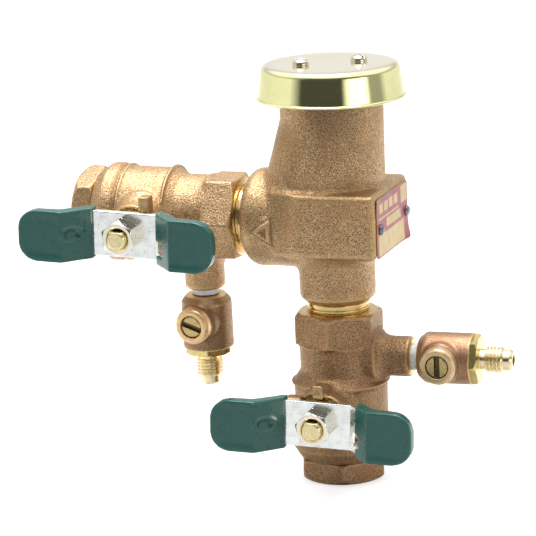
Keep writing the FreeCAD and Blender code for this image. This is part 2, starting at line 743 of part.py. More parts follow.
def handle(parts):
    plate, flats = size.plate_half, size.stem_flats + 0.05
    window = box((plate + 1.0, -48.0, -5.6), (plate + 4.2, -20.0, -1.2))
    hole = common(cyl(size.stem_rad + 0.05, 20.0, (0, -22.0, 0), TO_MINUS_Y),
                  box((-6.0, -45.0, -flats), (6.0, -20.0, flats)))
    return cut(fuse(*parts), window, hole)


def handle_grips(parts, dip):
    """Dipped covers of both arms; dip is how far past the plate the +X one begins."""
    plate = size.plate_half
    grown = lever_strip(size.grip_wall, 7.0)
    keep = fuse(box((-60.0, -60.0, -20.0), (-plate + 0.7, 0.0, 20.0)),
                box((plate + dip, -60.0, -20.0), (60.0, 0.0, 20.0)))
    # the lever, with its window filled and room round the -X tab
    bare = fuse(*(parts + [
        box((plate - 1.0, -48.0, -5.8), (plate + 4.3, -20.0, -1.0)),
        box((-plate - 1.3, -30.0, 0.9), (-plate + 1.0, -26.0, 4.1))]))
    return cut(common(grown, keep), bare)


def handle_nut(angle):
    """Nut on the stem's end, made along +Z."""
    low, high = size.plate_face, size.nut_face
    nut = common(hexagon(size.nut_flats, high - low, (0, 0, low), about_z(angle)),
                 turned([(0, low), (6.1, low), (6.5, low + 0.5), (6.5, high - 0.7),
                         (5.5, high), (0, high)]))
    return cut(nut, cyl(size.stem_rad, 12.0, (0, 0, low - 2.0)))


# ---------------------------------------------------------------- test cock
# Its own frame: origin at the mouth of the valve's boss, +Z out of the boss,
# screw towards -Y at the height of the small ball.
screw_z = size.cock_screw_at
AT_SCREW = (0, 0, screw_z)
COCK_SEAT_RAD, COCK_SEAT_NEAR, COCK_SEAT_FAR = 5.2, 2.4, 5.4   # distances from the ball


def plug_pocket():
    """Room for the shoulder of the cock's stem."""
    return cyl(4.5, 5.9, AT_SCREW, TO_MINUS_Y)


def cock_body():
    rad, shank, end = size.cock_rad, size.cock_shank, size.cock_end
    barrel = turned([
        (0, -8.3), (shank - 0.3, -8.3), (shank, -7.8), (shank, 2.6), (7.0, 2.6), (7.3, 2.9),
        (rad - 0.15, 4.9), (rad, 5.6), (rad, end), (0, end)])
    collar_rad, face = size.cock_ring_rad, size.cock_ring_face
    collar = turned([
        (0, 0), (collar_rad + 1.0, 0), (collar_rad + 0.8, 8.0), (collar_rad + 0.2, 9.2),
        (collar_rad, 10.2), (collar_rad, face - 1.1), (collar_rad - 0.35, face - 0.45),
        (collar_rad - 1.0, face), (0, face)], AT_SCREW, TO_MINUS_Y)
    return cut(
        fuse(barrel, collar),
        cyl(2.0, 20.0, (0, 0, -9.0)),
        cyl(COCK_SEAT_RAD, 18.0, (0, 0, screw_z - COCK_SEAT_FAR)),
        plug_pocket(),
        cyl(size.cock_stem_rad + 0.03, 16.0, AT_SCREW, TO_MINUS_Y),
        # the collar's wider mouth
        cyl(size.cock_stem_rad + 0.25, 4.0, (0, -face + 1.6, screw_z), TO_MINUS_Y))


def cock_seats():
    return cut(fuse(washer(2.0, COCK_SEAT_RAD, screw_z - COCK_SEAT_FAR, screw_z - COCK_SEAT_NEAR),
                    washer(2.0, COCK_SEAT_RAD, screw_z + COCK_SEAT_NEAR, screw_z + COCK_SEAT_FAR)),
               ball(4.42, AT_SCREW), plug_pocket())


def cock_flare(hex_angle):
    """End piece with a flare fitting, and the hexagon that it is screwed in by."""
    bore, start, rad = 1.9, size.cock_end, size.flare_rad
    low = screw_z + COCK_SEAT_FAR
    tube = turned([
        (bore, low), (COCK_SEAT_RAD, low), (COCK_SEAT_RAD, start + 0.5), (3.6, start + 0.5),
        (3.6, 26.5), (rad, 26.8), (rad, 32.4), (3.75, 32.7), (3.75, 35.1), (3.0, 36.0),
        (bore, 36.0)])
    flare_hex = cut(common(hexagon(15.6, 2.3, (0, 0, start), about_z(hex_angle)),
                           turned([(0, start), (9.05, start), (9.05, start + 1.5),
                                   (8.0, start + 2.3), (0, start + 2.3)])),
                    cyl(bore, 8.0, (0, 0, start - 2.0)))
    return fuse(tube, flare_hex)


def cock_ball():
    return cut(ball(4.4, AT_SCREW), cyl(1.8, 12.0, (-6.0, 0, screw_z), TO_X),
               box((-2.4, -6.0, screw_z - 0.72), (2.4, -3.0, screw_z + 0.72)))


def cock_stem():
    """Grooved plug with a key into the ball and a driver slot in its face."""
    rad, face = size.cock_stem_rad, size.cock_ring_face - 0.3
    plug = turned([
        (0, 4.6), (4.35, 4.6), (4.35, 5.8), (rad, 5.8), (rad, 7.0), (2.85, 7.0), (2.85, 8.2),
        (rad, 8.2), (rad, face - 0.35), (rad - 0.35, face), (0, face)], AT_SCREW, TO_MINUS_Y)
    key = box((-2.0, -5.0, screw_z - 0.7), (2.0, -3.1, screw_z + 0.7))
    driver_slot = box((-6.0, -20.0, screw_z - 1.0), (6.0, -face + 1.3, screw_z + 1.0))
    return cut(fuse(plug, key), driver_slot)


def test_cock(side, at, rot, screw_turn, hex_angle):
    # the ball and the stem turn about the screw's axis
    plug_rot = rot * Rotation(Vector(0, -1, 0), screw_turn)
    plug_at = moved(moved(at, rot, AT_SCREW), plug_rot, (0, 0, -screw_z))
    node(side + "_test_cock_body", place(cock_body(), at, rot))
    node(side + "_test_tape",
         place(washer(size.cock_shank, size.cock_tape, -8.1, 2.45), at, rot))
    node(side + "_test_cock_seats", place(cock_seats(), at, rot))
    node(side + "_test_cock_flare", place(cock_flare(hex_angle), at, rot))
    node(side + "_test_cock_ball", place(cock_ball(), plug_at, plug_rot))
    node(side + "_test_cock_stem", place(cock_stem(), plug_at, plug_rot))
    # the ring sits in the stem's groove, on the screw's axis
    node(side + "_test_cock_o_ring",
         ring(3.36, 0.5, moved(at, rot, (0, -7.6, screw_z)), rot * TO_MINUS_Y))


# --------------------------------------------------------------- the valves
def valve(side, at, rot, turn, dip, nut_angle, flare_hex_angle, cock_roll, screw_turn):
    """A whole valve; rot turns its fixed part and turn its ball, stem and handle."""
    def put(name, obj, rotation):
        node(side + "_" + name, place(obj, at, rotation))

    along_stem = rot * TO_MINUS_Y
    put("valve_body", valve_casting(), rot)
    put("end_connector", end_connector(), rot)
    put("ball_seats", ball_seats(), rot)
    put("thrust_washer", washer(stem_hole, 5.2, 13.95, WASHER_END), along_stem)
    put("stem_packing", washer(stem_hole, PACKING_RAD, PACKING_START, PACKING_END), along_stem)
    put("packing_gland", packing_gland(), along_stem)

    put("ball", valve_ball(), turn)
    put("stem", valve_stem(), turn)
    parts = lever_parts()
    put("handle", handle(parts), turn)
    put("handle_grips", handle_grips(parts, dip), turn)
    put("handle_nut", handle_nut(nut_angle), turn * TO_MINUS_Y)

    cock_at = moved(at, rot, (size.test_boss_reach, 0, size.test_boss_height))
    test_cock(side, cock_at, rot * TO_X * about_z(cock_roll), screw_turn, flare_hex_angle)


lean = Rotation(AXIS_Y, val(size.handle_lean))
inlet_rot = about_z(val(size.inlet_roll))
outlet_roll = Rotation(AXIS_X, val(size.outlet_roll))
valve("inlet", (0, 0, size.inlet_valve_height), inlet_rot, inlet_rot * lean,
      dip=2.6, nut_angle=-12, flare_hex_angle=38, cock_roll=0.0, screw_turn=0.0)
valve("outlet", (-size.outlet_valve_reach, 0, outlet_z), outlet_roll * TO_X,
      outlet_roll * lean, dip=0.6, nut_angle=-22, flare_hex_angle=8,
      cock_roll=val(size.outlet_cock_roll), screw_turn=-val(size.outlet_screw_turn))

# ------------------------------------------------------------- check, write
doc.recompute()
bad = [obj.Name + " " + ",".join(obj.State) for obj in doc.Objects
       if "Invalid" in obj.State or "Error" in obj.State]
for name, obj in NODES:
    if obj.Shape.isNull():
        bad.append(name + " is empty")
    elif not obj.Shape.isValid():
        bad.append(name + " is not valid")
    elif not obj.Shape.Solids:
        bad.append(name + " has no solid")
if len(set(name for name, obj in NODES)) != len(NODES):
    bad.append("two nodes share a name")
if bad:
    raise RuntimeError("; ".join(bad))
for name, obj in NODES:
    obj.Shape.exportStep("parts/%s.step" % name)
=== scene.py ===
"""Looks of a half-inch vacuum breaker with two lever ball valves and two test cocks.

The riser stands along +Z with the inlet valve below the body and the canopy on top. The branch
runs towards -X to the outlet valve. The levers are on the -Y side. Local geometry is in
millimetres in the frame of its valve, lever or cock; a matrix carries it to the shared frame,
which is in metres.
"""
import itertools
import json
import math

import bmesh
import bpy
import numpy as np
from mathutils import Matrix, Vector


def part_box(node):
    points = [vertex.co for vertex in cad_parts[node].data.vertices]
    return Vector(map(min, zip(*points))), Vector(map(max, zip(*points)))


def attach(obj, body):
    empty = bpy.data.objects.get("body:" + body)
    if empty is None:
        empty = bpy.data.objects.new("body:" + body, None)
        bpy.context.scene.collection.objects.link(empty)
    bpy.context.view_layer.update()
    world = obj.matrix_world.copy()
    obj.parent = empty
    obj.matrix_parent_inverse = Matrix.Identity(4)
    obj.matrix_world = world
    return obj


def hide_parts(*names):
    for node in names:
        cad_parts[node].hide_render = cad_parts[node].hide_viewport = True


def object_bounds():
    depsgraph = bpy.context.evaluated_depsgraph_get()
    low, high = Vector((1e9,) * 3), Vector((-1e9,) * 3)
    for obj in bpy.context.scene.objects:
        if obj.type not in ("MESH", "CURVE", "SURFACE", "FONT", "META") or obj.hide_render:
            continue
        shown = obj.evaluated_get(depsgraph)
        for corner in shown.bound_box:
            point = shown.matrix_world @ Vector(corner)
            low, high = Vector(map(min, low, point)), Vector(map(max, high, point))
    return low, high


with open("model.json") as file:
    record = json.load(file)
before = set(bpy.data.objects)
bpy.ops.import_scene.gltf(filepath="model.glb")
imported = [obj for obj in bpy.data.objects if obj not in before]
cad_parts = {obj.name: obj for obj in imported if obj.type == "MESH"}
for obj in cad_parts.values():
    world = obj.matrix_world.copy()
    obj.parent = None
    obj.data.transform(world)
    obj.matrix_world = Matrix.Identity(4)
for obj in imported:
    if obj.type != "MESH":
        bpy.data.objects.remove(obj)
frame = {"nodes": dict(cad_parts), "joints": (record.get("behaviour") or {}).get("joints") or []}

NODES = frame["nodes"]
JOINTS = {joint["name"]: joint for joint in frame["joints"]}
CAD_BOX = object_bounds()
SCENE = bpy.context.scene
COARSEN = 1.0    # multiplies every voxel size

# ------------------------------------------------------------------ frames


def shift(x, y, z):
    return Matrix.Translation((x, y, z))


def turn(degrees, axis):
    return Matrix.Rotation(math.radians(degrees), 4, axis)


def joint_axis(name):
    """Axis of a joint, and its origin in mm."""
    joint = JOINTS[name]
    return Vector(joint["axis"]), Vector(joint["pos_m"]) * 1000.0


SIDES = ("inlet", "outlet")
IN_AXIS, IN_ORIGIN = joint_axis("inlet_valve_turn")
OUT_AXIS, OUT_ORIGIN = joint_axis("outlet_valve_turn")
BRANCH_Z = OUT_ORIGIN.z
LEVER_LEAN = 2.3                              # degrees both levers are off square
COCK_BOSS_X, COCK_BOSS_Z = 26.7, 17.1         # test-cock boss in the valve frame
PLUG_Z = 11.6                                 # slotted plug's axis along the cock
COCK_ROLL = {"inlet": 0.0, "outlet": 6.5}     # degrees about the cock's axis
PLUG_TURN = {"inlet": 0.0, "outlet": -18.0}   # degrees of the plug's slot
FLARE_HEX_TURN = {"inlet": 38.0, "outlet": 8.0}
NUT_TURN = {"inlet": -12, "outlet": -22}
GRIP_SEED = {"inlet": 17, "outlet": 29}

TO_METRES = Matrix.Scale(0.001, 4)
TO_MM = Matrix.Scale(1000.0, 4)
Z_TO_MINUS_Y = turn(90, "X")

SEATED = {
    "inlet": shift(*IN_ORIGIN) @ turn(math.degrees(math.atan2(IN_AXIS.x, -IN_AXIS.y)), "Z"),
    "outlet": shift(*OUT_ORIGIN) @ turn(math.degrees(math.atan2(-OUT_AXIS.z, -OUT_AXIS.y)), "X"),
}
# valve frame: +Z points along the pipe to the body
VALVE = {"inlet": SEATED["inlet"], "outlet": SEATED["outlet"] @ turn(90, "Y")}
LEVER = {side: SEATED[side] @ turn(LEVER_LEAN, "Y") for side in SIDES}
COCK = {side: VALVE[side] @ shift(COCK_BOSS_X, 0, COCK_BOSS_Z) @ turn(90, "Y")
        @ turn(COCK_ROLL[side], "Z") for side in SIDES}
PLUG = {side: COCK[side] @ shift(0, 0, PLUG_Z) @ turn(-PLUG_TURN[side], "Y")
        @ shift(0, 0, -PLUG_Z) for side in SIDES}

# ------------------------------------------------------- fields over points


def hash_cells(cells, seed):
    """A repeatable random value in -1..1 for each integer cell."""
    h = (cells[:, 0] * 73856093) ^ (cells[:, 1] * 19349663) ^ (cells[:, 2] * 83492791)
    h = (h ^ (seed * 2654435761 % 4294967296)) & 0xFFFFFFFF
    h = ((h ^ (h >> 15)) * 2246822519) & 0xFFFFFFFF
    h = ((h ^ (h >> 13)) * 3266489917) & 0xFFFFFFFF
    h = (h ^ (h >> 16)) & 0xFFFFFFFF
    return h.astype(np.float64) / 2147483647.5 - 1.0


def value_noise(points, size, seed):
    """Smooth value noise in -1..1 over points, with cells of the given size."""
    scaled = points / size
    floor = np.floor(scaled)
    part = scaled - floor
    part = part * part * (3 - 2 * part)
    cells = floor.astype(np.int64)
    weights = (1 - part, part)
    total = np.zeros(len(points))
    for dx, dy, dz in itertools.product((0, 1), repeat=3):
        weight = weights[dx][:, 0] * weights[dy][:, 1] * weights[dz][:, 2]
        total += weight * hash_cells(cells + np.array([dx, dy, dz], np.int64), seed)
    return total


def smoothstep(start, end, x):
    t = np.clip((x - start) / (end - start), 0, 1)
    return t * t * (3 - 2 * t)


def hump(x, centre, width):
    return np.exp(-((x - centre) / width) ** 2)


def union(*masks):
    return np.maximum.reduce(masks)


def thread_wave(z, turns, pitch):
    """Triangle wave in 0..1 that follows a helix; turns is the angle as a part of a full turn."""
    phase = (z / pitch - turns) % 1.0
    return 1 - np.abs(2 * phase - 1)


def hexagon_angle(angle, turn_degrees):
    """Angle from the middle of the nearest flat of a hexagon."""
    return (angle - math.radians(turn_degrees)) % (math.pi / 3) - math.pi / 6


# ------------------------------------------------------------- mesh helpers


def new_object(name, mesh):
    mesh.name = name
    ob = bpy.data.objects.new(name, mesh)
    SCENE.collection.objects.link(ob)
    return ob


def finish_piece(ob, node, body, material, sharp=None):
    """Gives the piece its material and sets it in the place of its CAD node."""
    mesh = ob.data
    mesh.materials.clear()
    mesh.materials.append(material)
    mesh.polygons.foreach_set("use_smooth", np.ones(len(mesh.polygons), dtype=bool))
    if sharp:
        mesh.set_sharp_from_angle(angle=math.radians(sharp))
    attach(ob, body)
    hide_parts(node)


def rounded(points, radius, segments=4, closed=True):
    """The outline with its corners rounded; a third number is the point's own radius."""
    out = []
    count = len(points)
    for i, point in enumerate(points):
        wanted = point[2] if len(point) > 2 else radius
        corner = Vector(point[:2])
        if (not closed and i in (0, count - 1)) or wanted <= 0:
            out.append((corner.x, corner.y))
            continue
        before = Vector(points[i - 1][:2]) - corner
        after = Vector(points[(i + 1) % count][:2]) - corner
        before_length, after_length = before.length, after.length
        before.normalize()
        after.normalize()
        angle = math.acos(max(-1, min(1, before.dot(after))))
        if angle > math.pi - 0.02:
            out.append((corner.x, corner.y))
            continue
        cut = min(wanted / math.tan(angle / 2), 0.48 * before_length, 0.48 * after_length)
        fitted = cut * math.tan(angle / 2)
        centre = corner + (before + after).normalized() * (fitted / math.sin(angle / 2))
        first, last = corner + before * cut, corner + after * cut
        start = math.atan2(first.y - centre.y, first.x - centre.x)
        end = math.atan2(last.y - centre.y, last.x - centre.x)
        sweep = (end - start + math.pi) % (2 * math.pi) - math.pi
        for step in range(segments + 1):
            a = start + sweep * step / segments
            out.append((centre.x + fitted * math.cos(a), centre.y + fitted * math.sin(a)))
    return out


def dense(points, step, closed=True):
    """Adds points so that no side is longer than step."""
    out = []
    count = len(points)
    for i in range(count if closed else count - 1):
        (x0, y0), (x1, y1) = points[i], points[(i + 1) % count]
        parts = max(1, int(math.ceil(math.hypot(x1 - x0, y1 - y0) / step)))
        for j in range(parts):
            out.append((x0 + (x1 - x0) * j / parts, y0 + (y1 - y0) * j / parts))
    if not closed:
        out.append(points[-1])
    return out


def revolve(name, profile, matrix, around, shape, closed=True):
    """Turns (radius, height) points about local Z; shape(radius, z, angle) bends the surface."""
    profile = np.array(profile, float)
    rows = len(profile)
    angle = np.linspace(0, 2 * math.pi, around, endpoint=False)[None, :]
    radius = np.repeat(profile[:, 0:1], around, 1)
    z = np.repeat(profile[:, 1:2], around, 1)
    angle = np.repeat(angle, rows, 0)
    radius, z = shape(radius, z, angle)
    co = np.stack([radius * np.cos(angle), radius * np.sin(angle), z], -1).reshape(-1, 3)
    i = np.arange(rows if closed else rows - 1)[:, None]
    j = np.arange(around)[None, :]
    i2, j2 = (i + 1) % rows, (j + 1) % around
    corners = [i * around + j, i * around + j2, i2 * around + j2, i2 * around + j]
    faces = np.stack(corners, -1).reshape(-1, 4)
    mesh = bpy.data.meshes.new(name)
    mesh.from_pydata(co.tolist(), [], faces.tolist())
    bm = bmesh.new()
    bm.from_mesh(mesh)
    bmesh.ops.remove_doubles(bm, verts=bm.verts, dist=2e-4)
    bmesh.ops.dissolve_degenerate(bm, edges=bm.edges, dist=1e-5)
    bmesh.ops.recalc_face_normals(bm, faces=bm.faces)
    bm.to_mesh(mesh)
    bm.free()
    mesh.transform(TO_METRES @ matrix)
    return new_object(name, mesh)


class Cast:
    """A CAD node's solid, meshed evenly by voxels so its edges can be rounded and skin shaped."""

    def __init__(self, node, matrix, voxel, settle=2):
        source = NODES[node].data.copy()
        source.transform(matrix.inverted() @ TO_MM)
        bm = bmesh.new()
        bm.from_mesh(source)
        bmesh.ops.remove_doubles(bm, verts=bm.verts, dist=1e-4)
        bm.to_mesh(source)
        bm.free()
        ob = bpy.data.objects.new("work", source)
        SCENE.collection.objects.link(ob)
        remesh = ob.modifiers.new("voxels", "REMESH")
        remesh.mode = "VOXEL"
        remesh.voxel_size = voxel * COARSEN
        remesh.adaptivity = 0.0
        depsgraph = bpy.context.evaluated_depsgraph_get()
        self.mesh = bpy.data.meshes.new_from_object(ob.evaluated_get(depsgraph))
        bpy.data.objects.remove(ob)
        bpy.data.meshes.remove(source)
        self.matrix = matrix
        self.count = len(self.mesh.vertices)
        co = np.empty(self.count * 3, np.float32)
        self.mesh.vertices.foreach_get("co", co)
        self.co = co.reshape(-1, 3).astype(float)
        ends = np.empty(len(self.mesh.edges) * 2, np.int32)
        self.mesh.edges.foreach_get("vertices", ends)
        self.start, self.end = ends.reshape(-1, 2).T
        both = np.concatenate([self.start, self.end])
        self.degree = np.bincount(both, minlength=self.count).astype(float)
        self.degree[self.degree == 0] = 1
        self.smooth(settle, keep_size=True)

    def mean(self, values):
        """Mean over each point's neighbours."""
        if values.ndim == 1:
            total = (np.bincount(self.start, values[self.end], self.count)
                     + np.bincount(self.end, values[self.start], self.count))
            return total / self.degree
        return np.stack([self.mean(values[:, i]) for i in range(values.shape[1])], 1)

    def smooth(self, times, amount=0.5, weight=None, keep_size=False):
        factors = (amount, -(amount + 0.03)) if keep_size else (amount,)
        for _ in range(times):
            for factor in factors:
                step = (self.mean(self.co) - self.co) * factor
                self.co += step if weight is None else step * weight[:, None]
        return self

    def store_points(self):
        self.mesh.vertices.foreach_set("co", self.co.astype(np.float32).ravel())
        self.mesh.update()

    def normals(self):
        self.store_points()
        normals = np.empty(self.count * 3, np.float32)
        self.mesh.vertex_normals.foreach_get("vector", normals)
        return normals.reshape(-1, 3).astype(float)

    def bulge(self, times=14):
        """How far each point stands proud in mm: above 0 on edges, below 0 in inner corners."""
        normals = self.normals()
        smoothed = self.co.copy()
        for _ in range(times):
            smoothed += (self.mean(smoothed) - smoothed) * 0.6
        depth = ((self.co - smoothed) * normals).sum(1)
        for _ in range(3):
            depth = self.mean(depth)
        return depth

    def fillet(self, threshold, spread, times, limit):
        """Eases the inner corners only, as a casting's fillets do."""
        weight = (self.bulge() < -threshold).astype(float) * limit
        for _ in range(spread):
            weight = np.maximum(weight, self.mean(weight))
            weight = np.where(weight > 0.12, np.minimum(1, weight * 1.5), weight)
        for _ in range(3):
            weight = self.mean(weight)
        self.smooth(times, 0.6, np.clip(weight, 0, 1))

    def push(self, height):
        """Moves each point out along its normal by height, in mm."""
        self.co += self.normals() * height[:, None]

    def attribute(self, name, values):
        layer = self.mesh.attributes.new(name, "FLOAT", "POINT")
        layer.data.foreach_set("value", np.asarray(values, np.float32))

    def mark_edges(self, times, depth):
        """Stores how far points stand proud; depth in mm counts as fully proud."""
        self.attribute("edge", np.clip(self.bulge(times) / depth, -1, 1))
        return self

    def build(self, name):
        self.store_points()
        self.mesh.transform(TO_METRES @ self.matrix)
        return new_object(name, self.mesh)


# ---------------------------------------------------------- shader helpers


def srgb(rgb):
    """Linear RGBA of an sRGB colour in 0..255."""
    def linear(value):
        value = value / 255.0
        return value / 12.92 if value <= 0.04045 else ((value + 0.055) / 1.055) ** 2.4
    return (*(linear(value) for value in rgb), 1.0)


class Shader:
    """A short way to write a node tree."""

    def __init__(self, owner, output):
        owner.use_nodes = True
        self.tree = owner.node_tree
        self.tree.nodes.clear()
        self.output = self.node(output)
        self.coords = self.node("TexCoord").outputs

    def node(self, kind):
        return self.tree.nodes.new("ShaderNode" + kind)

    def put(self, socket, value):
        if isinstance(value, bpy.types.NodeSocket):
            self.tree.links.new(value, socket)
        else:
            socket.default_value = value

    def math(self, operation, *values):
        node = self.node("Math")
        node.operation = operation
        for socket, value in zip(node.inputs, values):
            self.put(socket, value)
        return node.outputs[0]

    def add(self, a, b):
        return self.math("ADD", a, b)

    def mul(self, a, b):
        return self.math("MULTIPLY", a, b)

    def along(self, x, y, direction):
        """Distance of (x, y) along a plan direction."""
        return self.add(self.mul(x, direction[0]), self.mul(y, direction[1]))

    def split(self, vector):
        node = self.node("SeparateXYZ")
        self.put(node.inputs[0], vector)
        return node.outputs[0], node.outputs[1], node.outputs[2]

    def remap(self, value, over, to=(0.0, 1.0), smooth=False):
        """Carries the span over to the span to, clamped."""
        node = self.node("MapRange")
        node.clamp = True
        if smooth:
            node.interpolation_type = "SMOOTHSTEP"
        self.put(node.inputs["Value"], value)
        for key, limit in zip(("From Min", "From Max", "To Min", "To Max"), (*over, *to)):
            self.put(node.inputs[key], limit)
        return node.outputs[0]

    def band(self, value, low, high, blur):
        """1 between low and high, with edges blurred each way."""
        return self.mul(self.remap(value, over=(low - blur, low + blur)),
                        self.remap(value, over=(high + blur, high - blur)))

    def ramp(self, factor, stops):
        node = self.node("ValToRGB")
        node.color_ramp.interpolation = "LINEAR"
        elements = node.color_ramp.elements
        while len(elements) < len(stops):
            elements.new(0.5)
        for element, (position, colour) in zip(elements, stops):
            element.position = position
            element.color = colour
        self.put(node.inputs[0], factor)
        return node.outputs[0]

    def mix(self, factor, a, b):
        node = self.node("Mix")
        node.data_type = "RGBA"
        node.blend_type = "MIX"
        self.put(node.inputs[0], factor)
        self.put(node.inputs[6], a)
        self.put(node.inputs[7], b)
        return node.outputs[2]

    def two_tone(self, signal, over, first, second):
        return self.mix(self.remap(signal, over), srgb(first), srgb(second))

    def tint(self, base, toward, signal, over, most=1.0):
        """Draws base toward a colour as signal crosses the span over, by at most most."""
        return self.mix(self.remap(signal, over, to=(0.0, most)), base, srgb(toward))


class Material(Shader):
    """A node tree around one Principled BSDF, with textures sized in mm."""

    INPUTS = {"color": "Base Color", "rough": "Roughness", "metal": "Metallic",
              "normal": "Normal", "spec": "Specular IOR Level", "coat": "Coat Weight",
              "coat_rough": "Coat Roughness", "sss": "Subsurface Weight",
              "sss_scale": "Subsurface Scale"}

    def __init__(self, name):
        self.material = bpy.data.materials.new(name)
        super().__init__(self.material, "OutputMaterial")
        self.position = self.coords["Object"]
        self.bsdf = self.node("BsdfPrincipled")
        self.put(self.output.inputs["Surface"], self.bsdf.outputs[0])

    def set(self, **values):
        for key, value in values.items():
            self.put(self.bsdf.inputs[self.INPUTS[key]], value)

    def local(self, matrix):
        """Texture position in mm in a local frame."""
        place, rotation, scale = (matrix.inverted() @ TO_MM).decompose()
        node = self.node("Mapping")
        node.vector_type = "POINT"
        self.put(node.inputs["Vector"], self.position)
        node.inputs["Location"].default_value = place
        node.inputs["Rotation"].default_value = rotation.to_euler()
        node.inputs["Scale"].default_value = scale
        return node.outputs[0]

    def scaled(self, vector, factors):
        node = self.node("VectorMath")
        node.operation = "MULTIPLY"
        self.put(node.inputs[0], vector)
        node.inputs[1].default_value = factors
        return node.outputs[0]

    def position_mm(self):
        return self.scaled(self.position, (1000, 1000, 1000))

    def noise(self, size, detail=2.0, rough=0.5, vector=None, distortion=0.0):
        """Noise of a size in mm; a vector, where given, is in mm already."""
        node = self.node("TexNoise")
        self.put(node.inputs["Vector"], self.position if vector is None else vector)
        node.inputs["Scale"].default_value = (1000.0 if vector is None else 1.0) / size
        node.inputs["Detail"].default_value = detail
        node.inputs["Roughness"].default_value = rough
        node.inputs["Distortion"].default_value = distortion
        return node.outputs[0]

    def cells(self, size):
        node = self.node("TexVoronoi")
        node.feature = "SMOOTH_F1"
        self.put(node.inputs["Vector"], self.position)
        node.inputs["Scale"].default_value = 1000.0 / size
        return node.outputs["Distance"]

    def attr(self, name):
        node = self.node("Attribute")
        node.attribute_name = name
        return node.outputs["Fac"]

    def bump(self, height, mm, strength=1.0):
        node = self.node("Bump")
        node.inputs["Strength"].default_value = strength
        node.inputs["Distance"].default_value = mm * 0.001
        self.put(node.inputs["Height"], height)
        return node.outputs[0]


# ---------------------------------------------------------------- materials
# Colours are sRGB in 0..255. rough pairs are the two ends of a cloudy roughness; bump, groove
# and grain set relief depth (the first two in mm).


def cast_bronze(name, mid, light, dark, warm, rough=0.47, grain=1.0,
                machined=(206, 176, 122), hollow_dirt_and_shade=0.5, painted_shade_across=None, satin=0.0):
    """Blasted sand-cast bronze: grain, stains, worn golden edges, soil and painted shade in
    corners, turned faces.

    painted_shade_across is the plan direction across the painted shade below the canopy; satin
    dulls the machined faces.
    """
    mat = Material(name)
    # colour of soil and of painted shade in hollows
    dirt_and_shade = (72, 54, 36)
    fine = mat.noise(size=0.42, detail=3.0, rough=0.7)
    speck = mat.noise(size=0.27, detail=1.0)
    pits = mat.cells(size=0.75)
    stain = mat.noise(size=9.0, detail=3.0, rough=0.55)
    broad_stain = mat.noise(size=21.0, distortion=0.4)
    base = mat.ramp(mat.remap(fine, over=(0.355, 0.645)),
                    [(0.0, srgb(dark)), (0.45, srgb(mid)), (1.0, srgb(light))])
    base = mat.tint(base, light, speck, over=(0.56, 0.67), most=0.9)
    base = mat.tint(base, dark, speck, over=(0.44, 0.34), most=0.85)
    hue = mat.noise(size=0.62, rough=0.6)
    base = mat.tint(base, (206, 138, 100), hue, over=(0.55, 0.66), most=0.34 * grain)
    base = mat.tint(base, (142, 128, 84), hue, over=(0.45, 0.34), most=0.34 * grain)
    base = mat.tint(base, warm, stain, over=(0.42, 0.66), most=0.38)
    base = mat.tint(base, dark, broad_stain, over=(0.52, 0.70), most=0.22)
    if painted_shade_across:
        # painted shade below the canopy, on the casting's front: the canopy's shadow and the dark
        # reflection of the camera side
        x, y, z = mat.split(mat.position_mm())
        across = mat.along(x, y, painted_shade_across)
        toward_back = (painted_shade_across[1], -painted_shade_across[0])
        near = mat.remap(mat.along(x, y, toward_back), over=(2.0, 10.0))
        ragged = mat.add(across, mat.mul(mat.add(stain, -0.5), 8.0))
        sides = mat.remap(mat.math("ABSOLUTE", ragged), over=(3.0, 13.0), to=(1.0, 0.0),
                          smooth=True)
        height = mat.remap(z, over=(110.0, 136.0), to=(0.0, 0.5), smooth=True)
        base = mat.mix(mat.mul(near, mat.mul(sides, height)), base, srgb(dark))
    edge = mat.attr("edge")
    ragged_edge = mat.add(edge, mat.mul(mat.add(fine, -0.5), 0.5))
    base = mat.tint(base, (206, 172, 124), ragged_edge, over=(0.45, 1.1), most=0.42)
    # soil and painted shade in hollows; edge marks below -1 carry the flow arrow's painted shadow
    base = mat.tint(base, dirt_and_shade, edge, over=(-0.25, -1.0), most=hollow_dirt_and_shade)
    base = mat.tint(base, dirt_and_shade, edge, over=(-1.0, -2.0), most=0.6)
    mach = mat.attr("mach")
    ring = mat.noise(size=1.1, detail=3.0, rough=0.6)
    gold = mat.two_tone(ring, (0.35, 0.7), machined, [min(255, c + 24) for c in machined])
    # soil and painted shade in the machined faces' inner corners
    gold = mat.tint(gold, (96, 70, 36), edge, over=(-0.1, -0.8), most=0.6)
    mat.set(color=mat.mix(mach, base, gold),
            metal=mat.remap(mach, over=(0, 1), to=(0.86, 1.0 - 0.4 * satin)))
    # roughness: finer on worn edges, and set apart on machined faces
    skin = mat.remap(fine, over=(0.3, 0.7), to=(rough + 0.08, rough - 0.07))
    skin = mat.add(skin, mat.remap(stain, over=(0.3, 0.7), to=(-0.04, 0.06)))
    skin = mat.math("SUBTRACT", skin, mat.mul(mat.remap(edge, over=(0.2, 1.0)), 0.10))
    turned = mat.remap(ring, over=(0.3, 0.7), to=(0.20 + 0.14 * satin, 0.32 + 0.16 * satin))
    mat.set(rough=mat.add(mat.mul(skin, mat.math("SUBTRACT", 1.0, mach)),
                          mat.mul(mach, turned)))
    relief = mat.add(mat.mul(fine, 0.7), mat.mul(mat.remap(pits, over=(0.0, 0.5)), 0.45))
    relief = mat.add(relief, mat.mul(speck, 0.35))
    relief = mat.mul(relief, mat.math("SUBTRACT", 1.0, mat.mul(mach, 0.93)))
    mat.set(normal=mat.bump(relief, mm=0.18 * grain))
    return mat.material


